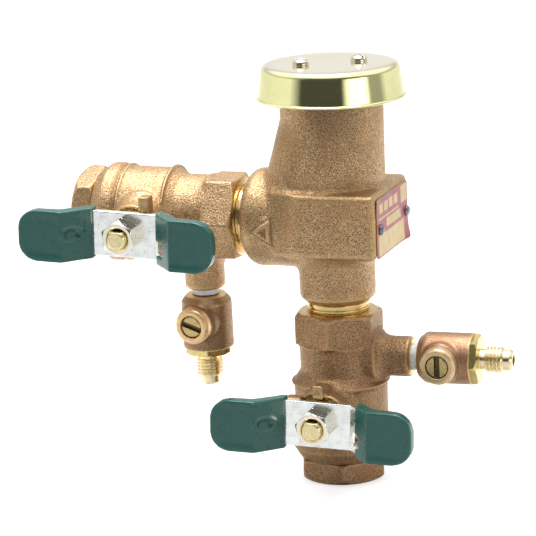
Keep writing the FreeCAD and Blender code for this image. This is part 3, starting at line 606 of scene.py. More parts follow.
def turned_brass(name, matrix, first, second, groove, rough=(0.14, 0.26), pitch=0.22,
                 tarnish=0.25, smudge=6.0, dark=(120, 88, 40), roof=None, collar=None):
    """Turned or spun brass: tool rings about local Z, finger smudges, a little tarnish.

    pitch and smudge are sizes in mm. roof is a painted reflection colour drawn onto faces that
    look up; collar is (low z, high z, colour) of an unpolished band.
    """
    mat = Material(name)
    place = mat.local(matrix)
    x, y, z = mat.split(place)
    radius = mat.math("SQRT", mat.add(mat.mul(x, x), mat.mul(y, y)))
    ring_place = mat.node("CombineXYZ")
    mat.put(ring_place.inputs[0], mat.mul(radius, 1.0 / pitch))
    mat.put(ring_place.inputs[1], mat.mul(z, 1.0 / pitch))
    lines = mat.noise(size=1.0, detail=3.0, rough=0.6, vector=ring_place.outputs[0])
    cloud = mat.noise(size=smudge, detail=3.0, rough=0.6, vector=place)
    smears = mat.noise(size=smudge * 0.33, detail=4.0, rough=0.65, vector=place, distortion=0.6)
    color = mat.two_tone(lines, (0.3, 0.7), first, second)
    color = mat.tint(color, dark, cloud, over=(0.5, 0.75), most=tarnish)
    if collar:
        low, high, dull = collar
        inside = mat.band(z, low, high, blur=0.1)
        plain = mat.two_tone(smears, (0.4, 0.65), dull, [int(c * 0.86) for c in dull])
        color = mat.mix(inside, color, plain)
    # painted reflection: faces that look up are drawn toward the roof colour
    if roof:
        normal = mat.node("NewGeometry").outputs["Normal"]
        color = mat.tint(color, roof, mat.split(normal)[2], over=(0.6, 0.95))
    # painted shade in hollows
    color = mat.tint(color, (70, 48, 22), mat.attr("edge"), over=(-0.12, -0.8), most=0.7)
    # soil and painted shade in the plug's slot
    color = mat.tint(color, (52, 36, 18), mat.attr("dirt_and_shade"), over=(0.0, 1.0), most=0.85)
    mat.set(color=color, metal=1.0)
    mat.set(rough=mat.add(mat.remap(smears, over=(0.35, 0.7), to=rough),
                          mat.remap(lines, over=(0.3, 0.7), to=(-0.02, 0.04))))
    relief = mat.add(mat.mul(lines, 1.0), mat.mul(smears, 0.15))
    mat.set(normal=mat.bump(relief, mm=groove))
    return mat.material


def plated(name, first, second, rough, mottle, bump=0.004, matrix=None,
           brushed=(0.12, 1.0, 3.2)):
    """Plated or bare steel: cloudy crystals of size mottle, scratches stretched by brushed."""
    mat = Material(name)
    place = mat.local(matrix) if matrix is not None else mat.position_mm()
    cloud = mat.noise(size=mottle, detail=4.0, rough=0.6, vector=place, distortion=0.4)
    fine = mat.noise(size=0.3, vector=place)
    scratch = mat.noise(size=0.9, detail=4.0, rough=0.7, vector=mat.scaled(place, brushed))
    color = mat.two_tone(cloud, (0.36, 0.66), first, second)
    # painted shade in hollows
    color = mat.tint(color, (60, 58, 55), mat.attr("edge"), over=(-0.2, -0.9), most=0.6)
    mat.set(color=color, metal=1.0)
    mat.set(rough=mat.add(mat.remap(cloud, over=(0.3, 0.7), to=rough),
                          mat.remap(scratch, over=(0.35, 0.7), to=(-0.03, 0.07))))
    relief = mat.add(mat.mul(scratch, 0.7), mat.add(mat.mul(fine, 0.4), mat.mul(cloud, 0.5)))
    mat.set(normal=mat.bump(relief, mm=bump))
    return mat.material


def plastic(name, first, second, rough, size, bump, spec=0.5, sss=0.0):
    """Plastic or rubber with a soft mottle of the given size."""
    mat = Material(name)
    mottle = mat.noise(size=size, detail=4.0, rough=0.55)
    fine = mat.noise(size=size * 0.18)
    color = mat.two_tone(mottle, (0.35, 0.68), first, second)
    shade = [c * 0.35 for c in first]
    color = mat.tint(color, shade, mat.attr("edge"), over=(-0.2, -1.0), most=0.5)
    mat.set(color=color, rough=mat.remap(mottle, over=(0.3, 0.7), to=rough), spec=spec)
    mat.set(normal=mat.bump(mat.add(mottle, mat.mul(fine, 0.4)), mm=bump))
    if sss:
        mat.set(sss=sss, sss_scale=0.001)
    return mat.material


def dipped_vinyl(name):
    """Green vinyl with a painted highlight on its rims and painted shade in its hollows."""
    mat = Material(name)
    cloud = mat.noise(size=3.2, detail=3.0, rough=0.55)
    fine = mat.noise(size=0.55)
    color = mat.two_tone(cloud, (0.3, 0.75), (2, 70, 64), (8, 80, 72))
    # painted highlight on the rims, painted shade in the hollows
    color = mat.tint(color, (0, 118, 92), mat.attr("edge"), over=(0.25, 0.95), most=0.7)
    color = mat.tint(color, (0, 34, 32), mat.attr("edge"), over=(-0.2, -0.9), most=0.55)
    mat.set(color=color, rough=mat.remap(cloud, over=(0.3, 0.7), to=(0.24, 0.36)), spec=0.55,
            coat=0.25, coat_rough=0.12)
    relief = mat.add(mat.mul(cloud, 0.8), mat.mul(fine, 0.10))
    mat.set(normal=mat.bump(relief, mm=0.035))
    return mat.material


# the body's last argument sets the direction of the painted shade below the canopy
BODY_CAST = cast_bronze("cast_bronze_body", mid=(176, 142, 101), light=(238, 207, 162),
                        dark=(90, 68, 45), warm=(188, 142, 98), rough=0.43, hollow_dirt_and_shade=0.15,
                        painted_shade_across=(0.943, 0.334))
VALVE_CAST = {
    "outlet": cast_bronze("cast_bronze_outlet", mid=(178, 143, 105), light=(236, 204, 160),
                          dark=(98, 75, 50), warm=(186, 144, 104), rough=0.43, hollow_dirt_and_shade=0.35),
    "inlet": cast_bronze("cast_bronze_inlet", mid=(152, 122, 89), light=(204, 170, 130),
                         dark=(78, 60, 41), warm=(166, 116, 82), rough=0.46, hollow_dirt_and_shade=0.35),
}
COCK_CAST = {
    "inlet": cast_bronze("cast_bronze_cock_r", mid=(160, 128, 98), light=(186, 153, 119),
                         dark=(120, 90, 68), warm=(170, 116, 92), rough=0.40, grain=0.35,
                         machined=(206, 176, 132), satin=0.55),
    "outlet": cast_bronze("cast_bronze_cock_l", mid=(150, 119, 91), light=(176, 146, 114),
                          dark=(106, 82, 60), warm=(144, 102, 78), rough=0.42, grain=0.45,
                          machined=(222, 184, 134), satin=0.55),
}

# ------------------------------------------------------------ cast pieces
PIPE_PITCH = 25.4 / 14


def cast_piece(node, name, matrix, voxel, material, machined, seed, rounds, fillet=None,
               wave=0.07, sand=0.035, edge_depth=0.10, edit=None, relief=None):
    """A bronze casting.

    machined(points) masks its turned faces. wave and sand are heights in mm of the skin's two
    roughnesses. edit(piece) runs first; relief(piece) raises details and returns edge marks.
    """
    piece = Cast(node, matrix, voxel)
    if edit:
        edit(piece)
    mask = machined(piece.co)
    skin = 1 - mask
    if fillet:
        piece.fillet(**fillet, limit=skin)
    piece.smooth(rounds, 0.5, np.clip(1.15 - mask, 0.15, 1))
    marks = relief(piece) if relief else 0.0
    waves = (value_noise(piece.co, 5.2, seed) * wave
             + value_noise(piece.co, 2.3, seed + 3) * wave * 0.45)
    piece.push(waves * skin)
    edge = np.clip(piece.bulge() / edge_depth, -1, 1)
    edge = np.clip(edge + marks, -2, 1)
    grains = (value_noise(piece.co, 0.85, seed + 7) * 0.6
              + value_noise(piece.co, 0.5, seed + 9) * 0.6)
    piece.push(grains * sand * skin)
    piece.attribute("edge", edge)
    piece.attribute("mach", np.clip(mask, 0, 1))
    finish_piece(piece.build(name), node, "housing", material)


def body_machined(points):
    x, y, z = points.T
    radius = np.hypot(x, y)
    branch_radius = np.hypot(y, z - BRANCH_Z)
    return union(
        smoothstep(138.1, 138.35, z),                                  # top face
        smoothstep(65.2, 64.7, z),                                     # bottom face
        smoothstep(-30.3, -30.8, x),                                   # branch's end face
        smoothstep(15.1, 14.95, radius) * (z > 84) * (z < 139),        # upper bore
        smoothstep(10.6, 10.45, radius) * (z < 90),                    # lower bore
        smoothstep(10.6, 10.45, branch_radius) * (x < -12))            # branch bore


def flow_arrow(piece):
    """The raised arrow on the branch's -Y side, its tip towards -X."""
    tip_x, base_x, below_axis = -24.9, -18.6, 1.8
    normals = piece.normals()
    x, z = piece.co[:, 0], piece.co[:, 2] - BRANCH_Z + below_axis
    slant = (x - tip_x) * 4.0 / 6.0 - np.abs(z)
    depth = np.minimum(slant * 0.86, base_x - x)      # distance inside the outline
    near = (normals[:, 1] < -0.35) & (piece.co[:, 1] < -10)
    rim = smoothstep(-0.2, 0.15, depth) * (1 - 0.85 * smoothstep(0.95, 1.35, depth))
    piece.push(np.where(near, 0.85 * rim, 0.0))
    # worn bright on the rim; painted shadow inside it and along its foot
    inside = smoothstep(1.0, 1.4, depth) * (1 - smoothstep(2.0, 3.0, depth))
    foot = smoothstep(-1.1, -0.5, depth) * (1 - smoothstep(-0.4, 0.0, depth))
    return np.where(near, 0.9 * rim - 1.9 * inside - 1.5 * foot, 0.0)


def valve_machined(points):
    x, y, z = points.T
    radius = np.hypot(x, y)
    boss_radius = np.hypot(y, z - COCK_BOSS_Z)
    stem_radius = np.hypot(x, z)
    return union(
        smoothstep(33.0, 33.3, z),                                         # +Z end face
        smoothstep(12.5, 12.3, radius) * (z < 30) * (stem_radius > 10),    # main bore
        smoothstep(10.7, 10.5, radius) * (z > 20),                         # +Z port
        smoothstep(26.2, 26.5, x),                                         # cock boss face
        smoothstep(5.0, 4.7, boss_radius) * (x > 16),                      # cock boss bore
        smoothstep(-24.0, -24.3, y) * (stem_radius < 9.6),                 # stem neck
        smoothstep(-19.3, -19.5, z) * (stem_radius > 16),                  # -Z end face
        0.25 * smoothstep(-27.75, -28.0, y))                               # neck's -Y end


# (z, width, height as a part of VALVE_RING_HEIGHT) of the rings and the grooves beside them
VALVE_RINGS = [(7.9, 0.42, 1.0), (-9.2, 0.42, 1.0), (-10.4, 0.5, -0.45), (6.9, 0.45, -0.35)]
VALVE_RING_HEIGHT = 0.50


def valve_rings(piece):
    """The two thin raised rings that bound the valve's middle band; they add no edge marks."""
    x, y, z = piece.co.T
    radius = np.hypot(x, y)
    normals = piece.normals()
    outward = (normals[:, 0] * x + normals[:, 1] * y) / np.maximum(radius, 1e-6)
    shell = (radius > 15.2) & (radius < 18.4) & (outward > 0.8)
    rings = sum(height * hump(z, at, width) for at, width, height in VALVE_RINGS)
    piece.push(np.where(shell, VALVE_RING_HEIGHT * rings, 0.0))
    return 0.0


def port_thread(piece):
    """Taper-pipe thread cut in the end port's wall, fading out at depth."""
    wall_radius, mouth_z, length, cut = 9.4, -27.5, 11.6, 0.95
    x, y, z = piece.co.T
    radius = np.hypot(x, y)
    inward = z - mouth_z
    wall = (np.abs(radius - wall_radius) < 0.35) & (inward > 0.1) & (inward < length)
    wave = thread_wave(z, np.arctan2(y, x) / (2 * math.pi), PIPE_PITCH)
    fade = smoothstep(length, 8.5, inward) * smoothstep(0.0, 0.7, inward)
    depth = np.where(wall, np.clip(wave * 1.25 - 0.1, 0, 1) * cut * fade, 0.0)
    piece.co[:, :2] += piece.co[:, :2] / np.maximum(radius, 1e-6)[:, None] * depth[:, None]


def connector_machined(points):
    x, y, z = points.T
    radius = np.hypot(x, y)
    return union(
        smoothstep(11.2, 10.9, radius) * (z < -14),                            # bore
        smoothstep(-27.25, -27.45, z) * smoothstep(13.4, 12.8, radius),        # mouth face
        smoothstep(-19.3, -19.0, z))                                           # inner end


def cock_machined(points):
    x, y, z = points.T
    plug_radius = np.hypot(x, z - PLUG_Z)
    radius = np.hypot(x, y)
    return union(
        smoothstep(7.0, 6.8, plug_radius) * smoothstep(-9.8, -10.4, y),    # around the plug
        smoothstep(3.1, 2.8, z),                                           # neck by the valve
        0.2 * smoothstep(5.9, 5.3, z) * (radius > 4.5),                    # shoulder
        smoothstep(21.5, 21.75, z),                                        # outer end face
        smoothstep(5.4, 5.25, radius) * (z > 5) * (y > -8))                # bore


cast_piece("body", "body_casting", Matrix.Identity(4), 0.42, BODY_CAST, body_machined, seed=11,
           rounds=4, fillet=dict(threshold=0.05, spread=4, times=50), relief=flow_arrow)
for side, seed in (("inlet", 23), ("outlet", 37)):
    cast_piece(side + "_valve_body", side + "_valve_casting", VALVE[side], 0.33,
               VALVE_CAST[side], valve_machined, seed=seed, rounds=3,
               fillet=dict(threshold=0.05, spread=3, times=20), relief=valve_rings)
for side, seed in (("inlet", 51), ("outlet", 59)):
    cast_piece(side + "_end_connector", side + "_end_connector_casting", VALVE[side], 0.30,
               VALVE_CAST[side], connector_machined, seed=seed, rounds=3, wave=0.05,
               sand=0.028, edit=port_thread)
for side, seed in (("inlet", 71), ("outlet", 83)):
    cast_piece(side + "_test_cock_body", side + "_test_cock_casting", COCK[side], 0.20,
               COCK_CAST[side], cock_machined, seed=seed, rounds=4, wave=0.03, sand=0.012,
               fillet=dict(threshold=0.02, spread=4, times=26), edge_depth=0.06)

# ------------------------------------------------- canopy and its screws


def build_canopy():
    """The spun cap: a shallow cone with a lipped rim, a little out of true."""
    # the roof colour is a painted reflection, a paler beige on faces that look up
    brass = turned_brass("spun_brass", Matrix.Identity(4), (242, 239, 180), (239, 236, 176),
                         rough=(0.06, 0.12), groove=0.0005, pitch=0.5, tarnish=0.10,
                         smudge=9.0, dark=(186, 176, 116), roof=(240, 232, 206))
    low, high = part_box("canopy")
    rim_z, roof_z = low.z * 1000, high.z * 1000
    rim, roof, sheet = 25.7, 24.0, 1.0
    # (radius, z, corner radius), from the roof's centre round the rim and back inside
    outline = [
        (0.0, roof_z, 0), (12.0, roof_z + 0.02, 0), (roof - 0.1, roof_z - 0.05, 2.2),
        (rim - 0.15, rim_z + 0.9, 0.6), (rim + 0.28, rim_z + 0.55, 0.35),
        (rim + 0.28, rim_z + 0.02, 0.3), (rim - sheet - 0.1, rim_z, 0.35),
        (rim - sheet - 0.15, rim_z + 1.2, 0.5), (roof - sheet, roof_z - sheet - 0.1, 1.2),
        (12.0, roof_z - sheet, 0), (0.0, roof_z - sheet, 0)]

    def dish(radius, z, angle):
        part = radius / 25.0
        z = z + 0.035 * np.sin(3 * angle + 0.7) * part ** 2 + 0.02 * np.sin(7 * angle) * part ** 4
        z = z + 0.10 * hump(radius, 19.0, 6.0) * (z > roof_z - 2.5)
        radius = radius + 0.03 * np.sin(2 * angle + 1.0) * (radius > 20)
        return radius, z

    smooth_outline = rounded(outline, radius=0.4, segments=7, closed=False)
    profile = dense(smooth_outline, step=1.6, closed=False)
    ob = revolve("canopy_cap", profile, Matrix.Identity(4), 256, dish, closed=False)
    finish_piece(ob, "canopy", "housing", brass)


def build_screws(node, name, steel):
    screws = Cast(node, Matrix.Identity(4), 0.10, settle=3).smooth(2)
    screws.mark_edges(times=6, depth=0.03)
    finish_piece(screws.build(name), node, "housing", steel)


build_canopy()
build_screws("canopy_screws", "canopy_round_head_screws",
             plated("nickel_screw", (232, 226, 208), (206, 196, 172), rough=(0.10, 0.22),
                    mottle=1.0, bump=0.003))

# ----------------------------------------------------------------- nipples
NIPPLE_THREAD = 11.0    # length of each threaded end


def nipple(name, node, length, matrix, material):
    """Close nipple: pipe threads each side of a turned ring with a groove round it."""
    ring = (length - 2 * NIPPLE_THREAD) / 2
    half = ring + NIPPLE_THREAD
    bore, root, thread_radius = 7.9, 9.7, 10.25
    outline = [
        (bore, -half), (root, -half), (thread_radius, -half + 0.8), (thread_radius, -ring),
        (11.0, -ring, 0.3), (11.1, -0.25, 0.15), (10.45, -0.12, 0.08), (10.45, 0.3, 0.08),
        (11.05, 0.45, 0.15), (11.0, ring, 0.3), (thread_radius, ring),
        (thread_radius, half - 0.8), (root, half), (bore, half)]

    def thread(radius, z, angle):
        wave = thread_wave(z, angle / (2 * math.pi), PIPE_PITCH)
        threaded = (np.abs(z) > ring + 0.1) & (radius > 9.5)
        height = (wave - 0.9) * 0.75 * smoothstep(half, half - 2.0, np.abs(z))
        return radius + np.where(threaded, height, 0), z

    ob = revolve(name, dense(rounded(outline, radius=0.1), step=0.3), matrix, 144, thread)
    finish_piece(ob, node, "housing", material)


brass_in = turned_brass("turned_brass_inlet_nipple", Matrix.Identity(4), (232, 206, 146),
                        (214, 184, 120), groove=0.004)
brass_out = turned_brass("turned_brass_outlet_nipple", shift(0, 0, BRANCH_Z) @ turn(-90, "Y"),
                         (246, 232, 192), (236, 216, 168), groove=0.002, rough=(0.10, 0.20))
low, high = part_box("inlet_nipple")
nipple("inlet_close_nipple", "inlet_nipple", (high.z - low.z) * 1000,
       shift(0, 0, (low.z + high.z) * 500), brass_in)
low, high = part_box("outlet_nipple")
nipple("outlet_close_nipple", "outlet_nipple", (high.x - low.x) * 1000,
       shift((low.x + high.x) * 500, 0, BRANCH_Z) @ turn(-90, "Y"), brass_out)

# --------------------------------------------------------------- the tag
TAG_WIDTH, TAG_HEIGHT = 36.6, 20.8
TAG_BELOW_AXIS = 9.9
# bare fields (u0, u1, v0, v1) as parts of the width and height, then four small panels in a row
TAG_BARE = [(0.045, 0.86, 0.03, 0.385), (0.775, 0.975, 0.67, 0.96), (0.30, 0.76, 0.45, 0.60),
            (0.045, 0.70, 0.635, 0.665)]
TAG_BARE += [(0.08 + 0.155 * i, 0.195 + 0.155 * i, 0.74, 0.90) for i in range(4)]


def tag_material():
    """Printed brass plate: plain fields in a coated red, bare brass between them."""
    mat = Material("printed_tag")
    _, y, z = mat.split(mat.position_mm())
    u = mat.mul(mat.add(y, TAG_WIDTH / 2), 1 / TAG_WIDTH)
    v = mat.mul(mat.add(z, -(BRANCH_Z - TAG_BELOW_AXIS)), 1 / TAG_HEIGHT)
    wobble = mat.mul(mat.add(mat.noise(size=0.7), -0.5), 0.012)
    u, v = mat.add(u, wobble), mat.add(v, wobble)
    bare = None
    for u0, u1, v0, v1 in TAG_BARE:
        field = mat.mul(mat.band(u, u0, u1, blur=0.003), mat.band(v, v0, v1, blur=0.005))
        bare = field if bare is None else mat.math("MAXIMUM", bare, field)
    wear = mat.noise(size=0.55, detail=4.0, rough=0.7)
    ink_gone = mat.remap(wear, over=(0.64, 0.72))
    bare = mat.math("MAXIMUM", bare, mat.mul(ink_gone, 0.8))
    bare = mat.math("MAXIMUM", bare, mat.remap(mat.attr("edge"), over=(0.3, 0.8)))
    cloud = mat.noise(size=4.0, detail=3.0, rough=0.6)
    brass = mat.two_tone(cloud, (0.35, 0.7), (190, 168, 120), (174, 152, 104))
    pink = mat.two_tone(cloud, (0.35, 0.7), (158, 72, 86), (148, 60, 76))
    # only the face towards +X is printed
    facing = mat.split(mat.node("NewGeometry").outputs["Normal"])[0]
    bare = mat.math("MAXIMUM", bare, mat.remap(facing, over=(0.5, 0.2)))
    mat.set(color=mat.mix(bare, pink, brass), metal=mat.remap(bare, over=(0, 1), to=(0.25, 1.0)),
            rough=mat.add(mat.remap(bare, over=(0, 1), to=(0.36, 0.34)),
                          mat.remap(wear, over=(0.3, 0.7), to=(-0.04, 0.08))))
    relief = mat.add(mat.mul(bare, -0.6), mat.mul(wear, 0.25))
    mat.set(normal=mat.bump(relief, mm=0.014))
    return mat.material


def build_tag():
    """Thin sheet with soft dents; its +Y lower and -Y upper corners bend out towards +X."""
    tag = Cast("id_tag", Matrix.Identity(4), 0.14).smooth(1).mark_edges(times=5, depth=0.04)
    y, z = tag.co[:, 1], tag.co[:, 2] - BRANCH_Z
    lower = np.clip((y - 6) / 12.3, 0, 1) ** 2 * np.clip((-z - 1.5) / 8.4, 0, 1) ** 2
    upper = np.clip((-y - 13) / 5.3, 0, 1) ** 2 * np.clip((z - 5) / 5.9, 0, 1) ** 2
    dents = value_noise(tag.co * np.array([0.0, 1, 1]), 6.0, 5)
    tag.co[:, 0] += 1.1 * lower + 0.35 * upper + 0.05 * dents
    finish_piece(tag.build("id_tag_plate"), "id_tag", "housing", tag_material())


build_tag()
build_screws("tag_drive_screws", "tag_round_drive_screws",
             plated("drive_screw_steel", (150, 152, 158), (104, 106, 112), rough=(0.22, 0.4),
                    mottle=0.7))

# -------------------------------------------------- test-cock small pieces
FLARE_PITCH = 25.4 / 20
# (radius, z, corner radius): spigot, hexagon, neck, threaded end with a plain nose
FLARE_OUTLINE = [
    (1.9, 17.0), (5.2, 17.0), (5.2, 21.9, 0), (9.0, 21.9, 0), (9.0, 23.4, 0), (8.1, 24.2, 0.1),
    (5.4, 24.25, 0.2), (3.7, 24.4, 0.25), (3.6, 26.4, 0.15), (4.76, 26.85, 0.1),
    (4.76, 32.35, 0.1), (3.75, 32.75, 0.15), (3.75, 35.1, 0.3), (3.0, 36.0, 0.25),
    (1.9, 36.0, 0.15)]
FLARE_HEX_FLAT = 7.8    # from the axis to a flat
TAPE_INNER, TAPE_OUTER, TAPE_Z0, TAPE_Z1 = 4.3, 4.5, -8.1, 2.2
TAPE_LAP = 0.95


def build_flare(side):
    """The cock's flare end, with the hexagon it is screwed in by."""
    def shape(radius, z, angle):
        wave = thread_wave(z, angle / (2 * math.pi), FLARE_PITCH)
        threaded = (radius > 4.2) & (z > 26.5) & (z < 32.7)
        fade = smoothstep(26.5, 27.2, z) * smoothstep(32.7, 32.0, z)
        cut = (1 - np.clip(wave * 1.35, 0, 1)) * 0.72 * fade
        radius = np.where(threaded, radius - cut, radius)
        flat = FLARE_HEX_FLAT / np.cos(hexagon_angle(angle, FLARE_HEX_TURN[side]))
        in_hexagon = (z > 21.8) & (z < 24.3) & (radius > 7.0)
        return np.where(in_hexagon, np.minimum(radius, flat), radius), z

    brass = turned_brass(side + "_flare_brass", COCK[side], (248, 234, 200), (234, 216, 172),
                         rough=(0.16, 0.30), groove=0.004, pitch=0.16, tarnish=0.12,
                         collar=(21.0, 24.4, (224, 204, 136)))
    profile = dense(rounded(FLARE_OUTLINE, radius=0.15), step=0.085)
    ob = revolve(side + "_cock_flare_end", profile, COCK[side], 192, shape)
    finish_piece(ob, side + "_test_cock_flare", "housing", brass, sharp=32)


def build_plug(side):
    """The slotted plug, with soil and painted shade in its slot."""
    node = side + "_test_cock_stem"
    plug = Cast(node, PLUG[side], 0.10, settle=3).smooth(1).mark_edges(times=6, depth=0.035)
    x, y, z = plug.co.T
    # soil and painted shade in the slot
    plug.attribute("dirt_and_shade", smoothstep(1.05, 0.9, np.abs(z - PLUG_Z))
                   * smoothstep(-12.95, -12.6, y) * smoothstep(-11.0, -11.5, y))
    axis = PLUG[side] @ shift(0, 0, PLUG_Z) @ Z_TO_MINUS_Y
    brass = turned_brass(side + "_plug_brass", axis, (214, 194, 142), (188, 166, 112),
                         rough=(0.22, 0.36), groove=0.008, pitch=0.2, tarnish=0.35, smudge=2.5)
    finish_piece(plug.build(side + "_cock_slotted_plug"), node, side + "_cock_turn",
                 brass)


def build_tape(side):
    """Wound PTFE tape: overlapping turns with a ragged edge."""
    def shape(radius, z, angle):
        lap = (z / TAPE_LAP - angle / (2 * math.pi)) % 1.0
        points = np.stack([np.cos(angle).ravel() * TAPE_OUTER, np.sin(angle).ravel() * TAPE_OUTER,
                           z.ravel()], 1)
        coarse = value_noise(points, 1.0, 91).reshape(radius.shape)
        fine = value_noise(points, 0.45, 95).reshape(radius.shape)
        outside = (radius > 4.4) & (z > -0.2)
        wound = radius + 0.10 * lap + 0.09 * coarse + 0.04 * fine + 0.10
        return np.where(outside, wound, radius), np.where(z > 1.9, z + 0.15 * coarse, z)

    outline = [(TAPE_INNER, TAPE_Z0), (TAPE_OUTER, TAPE_Z0), (TAPE_OUTER, TAPE_Z1),
               (TAPE_INNER, TAPE_Z1)]
    profile = dense(rounded(outline, radius=0.05, segments=3), step=0.16)
    ob = revolve(side + "_cock_ptfe_wrap", profile, COCK[side], 128, shape)
    white = plastic(side + "_ptfe", (238, 240, 242), (224, 228, 232), rough=(0.38, 0.55),
                    size=1.0, bump=0.02, sss=0.15)
    finish_piece(ob, side + "_test_tape", "housing", white)


for side in SIDES:
    build_flare(side)
    build_plug(side)
    build_tape(side)

# --------------------------------------------------------- lever handles
NUT_FOOT, NUT_TOP = 32.0, 38.4    # heights towards -Y
NUT_FLAT = 5.5                    # from the axis to a flat
# (radius, height, corner radius), from the bore's foot round the outside
NUT_OUTLINE = [
    (3.68, NUT_FOOT, 0.15), (6.0, NUT_FOOT, 0), (6.5, NUT_FOOT + 0.45, 0),
    (6.6, NUT_TOP - 1.0, 0), (6.3, NUT_TOP - 0.62, 0.1), (5.35, NUT_TOP, 0.25),
    (4.35, NUT_TOP, 0.15), (3.68, NUT_TOP - 0.6, 0.1)]


def build_plate(side):
    zinc = plated(side + "_zinc_sheet", (249, 252, 250), (232, 237, 236), rough=(0.15, 0.28),
                  mottle=2.6, bump=0.006, matrix=LEVER[side])
    plate = Cast(side + "_handle", LEVER[side], 0.20).smooth(3).mark_edges(times=8, depth=0.06)
    finish_piece(plate.build(side + "_lever_plate"), side + "_handle", side + "_turn",
                 zinc)


def build_grips(side):
    """Dipped vinyl covers on both arms."""
    node = side + "_handle_grips"
    grips = Cast(node, LEVER[side], 0.26).smooth(9)
    x, y, z = grips.co.T
    normals = grips.normals()
    reach = np.abs(x)
    # the -Y face between the rims is drawn in a little; the rims stay full
    front = smoothstep(-0.2, -0.9, normals[:, 1])
    within = (smoothstep(8.4, 5.6, np.abs(z)) * smoothstep(35.4, 31.0, reach)
              * smoothstep(18.0, 21.5, reach))
    height = -0.28 * front * within
    # thicker at the arms' outer ends
    height += 0.22 * smoothstep(30.0, 35.0, reach) * (1 - front * 0.6)
    height += (0.10 * value_noise(grips.co, 7.5, GRIP_SEED[side])
               + 0.05 * value_noise(grips.co, 3.1, 19))
    # the coated-over hole in the -X arm, with a raised lip
    hole = np.hypot((x + 16.9) / 2.45, (z - 0.5) / 2.05)
    dimple = -0.78 * smoothstep(1.0, 0.5, hole) + 0.26 * hump(hole, 1.25, 0.22)
    height += np.where((x < -11) & (normals[:, 1] < 0.2), dimple, 0)
    grips.push(height)
    grips.smooth(2).mark_edges(times=14, depth=0.22)
    finish_piece(grips.build(side + "_dipped_grips"), node, side + "_turn",
                 dipped_vinyl(side + "_dipped_vinyl"))


def build_nut(side):
    """Hexagon nut with a turned chamfer, standing on the plate."""
    def hexagon(radius, z, angle):
        from_flat = hexagon_angle(angle, NUT_TURN[side])
        flat = NUT_FLAT / np.cos(from_flat)
        # corners eased
        to_corner = np.minimum(1, (math.pi / 6 - np.abs(from_flat)) / 0.10)
        flat = np.minimum(flat, 6.33 - 0.35 * (1 - to_corner) ** 2 * 0.3)
        return np.where(radius > 4.6, np.minimum(radius, flat), radius), z

    axis = LEVER[side] @ Z_TO_MINUS_Y
    profile = dense(rounded(NUT_OUTLINE, radius=0.1), step=0.28)
    ob = revolve(side + "_lever_nut", profile, axis, 360, hexagon)
    nickel = plated(side + "_nut_nickel", (248, 242, 228), (238, 230, 214), rough=(0.08, 0.16),
                    mottle=1.6, bump=0.0012, matrix=axis, brushed=(0.5, 0.5, 2.0))
    finish_piece(ob, side + "_handle_nut", side + "_turn", nickel, sharp=28)


def build_stem(side):
    """The valve stem, uneven at its -Y tip."""
    stem = Cast(side + "_stem", LEVER[side], 0.15).smooth(2)
    tip = smoothstep(-40.0, -40.25, stem.co[:, 1])
    stem.push(0.05 * value_noise(stem.co, 1.1, 41) * tip)
    stem.mark_edges(times=6, depth=0.05)
    brass = turned_brass(side + "_stem_brass", LEVER[side] @ Z_TO_MINUS_Y, (246, 232, 186),
                         (232, 214, 160), rough=(0.2, 0.34), groove=0.008, pitch=0.3,
                         tarnish=0.12, smudge=2.0)
    finish_piece(stem.build(side + "_valve_stem"), side + "_stem", side + "_turn",
                 brass)


def build_gland(side):
    node = side + "_packing_gland"
    gland = Cast(node, VALVE[side], 0.20).smooth(2).mark_edges(times=6, depth=0.05)
    brass = turned_brass(side + "_gland_brass", VALVE[side] @ Z_TO_MINUS_Y, (150, 122, 84),
                         (128, 102, 68), rough=(0.3, 0.45), groove=0.01, pitch=0.3, tarnish=0.4)
    finish_piece(gland.build(side + "_gland_nut"), node, "housing", brass)


for side in SIDES:
    build_plate(side)
    build_grips(side)
    build_nut(side)
    build_stem(side)
    build_gland(side)

# ------------------------------------- finishes of the CAD nodes that stay
INNER_BRASS = turned_brass("turned_brass_inner", Matrix.Identity(4), (218, 190, 118),
                           (196, 164, 92), rough=(0.2, 0.36), groove=0.01, tarnish=0.35)
CHROME = plated("chrome_ball", (238, 240, 244), (222, 226, 232), rough=(0.05, 0.12), mottle=4.0,
                bump=0.001)
STAINLESS = plated("stainless_wire", (206, 208, 210), (180, 182, 186), rough=(0.2, 0.34),
                   mottle=1.0, bump=0.006)
PTFE = plastic("ptfe", (240, 240, 238), (226, 228, 226), rough=(0.34, 0.5), size=1.8, bump=0.01,
               sss=0.1)
RUBBER = plastic("black_rubber", (28, 28, 30), (44, 44, 46), rough=(0.55, 0.75), size=0.8,
                 bump=0.02, spec=0.4)
ACETAL = plastic("acetal", (232, 228, 214), (214, 208, 190), rough=(0.32, 0.46), size=2.0,
                 bump=0.01)
INNER_CAST = cast_bronze("cast_bronze_inner", mid=(176, 144, 106), light=(214, 184, 140),
                         dark=(120, 92, 62), warm=(186, 146, 100))
BY_NODE = {
    "bonnet": INNER_BRASS, "bonnet_o_ring": RUBBER, "check_seat": INNER_BRASS,
    "guide_bridge": ACETAL, "check_spring": STAINLESS, "vent_spring": STAINLESS,
    "check_poppet": ACETAL, "check_disc": RUBBER, "check_disc_retainer": INNER_BRASS,
    "vent_float": ACETAL, "vent_disc": RUBBER, "vent_disc_retainer": INNER_BRASS,
}
BY_SIDE_NODE = {
    "_ball_seats": PTFE, "_thrust_washer": PTFE, "_stem_packing": PTFE, "_ball": CHROME,
    "_test_cock_seats": PTFE, "_test_cock_ball": CHROME, "_test_cock_o_ring": RUBBER,
}
for side in SIDES:
    BY_NODE.update({side + ending: material for ending, material in BY_SIDE_NODE.items()})
for name, ob in NODES.items():
    if ob.hide_render:
        continue
    material = BY_NODE.get(name, INNER_CAST)
    if not ob.data.materials:
        ob.data.materials.append(material)
    for i in range(len(ob.data.materials)):
        ob.data.materials[i] = material

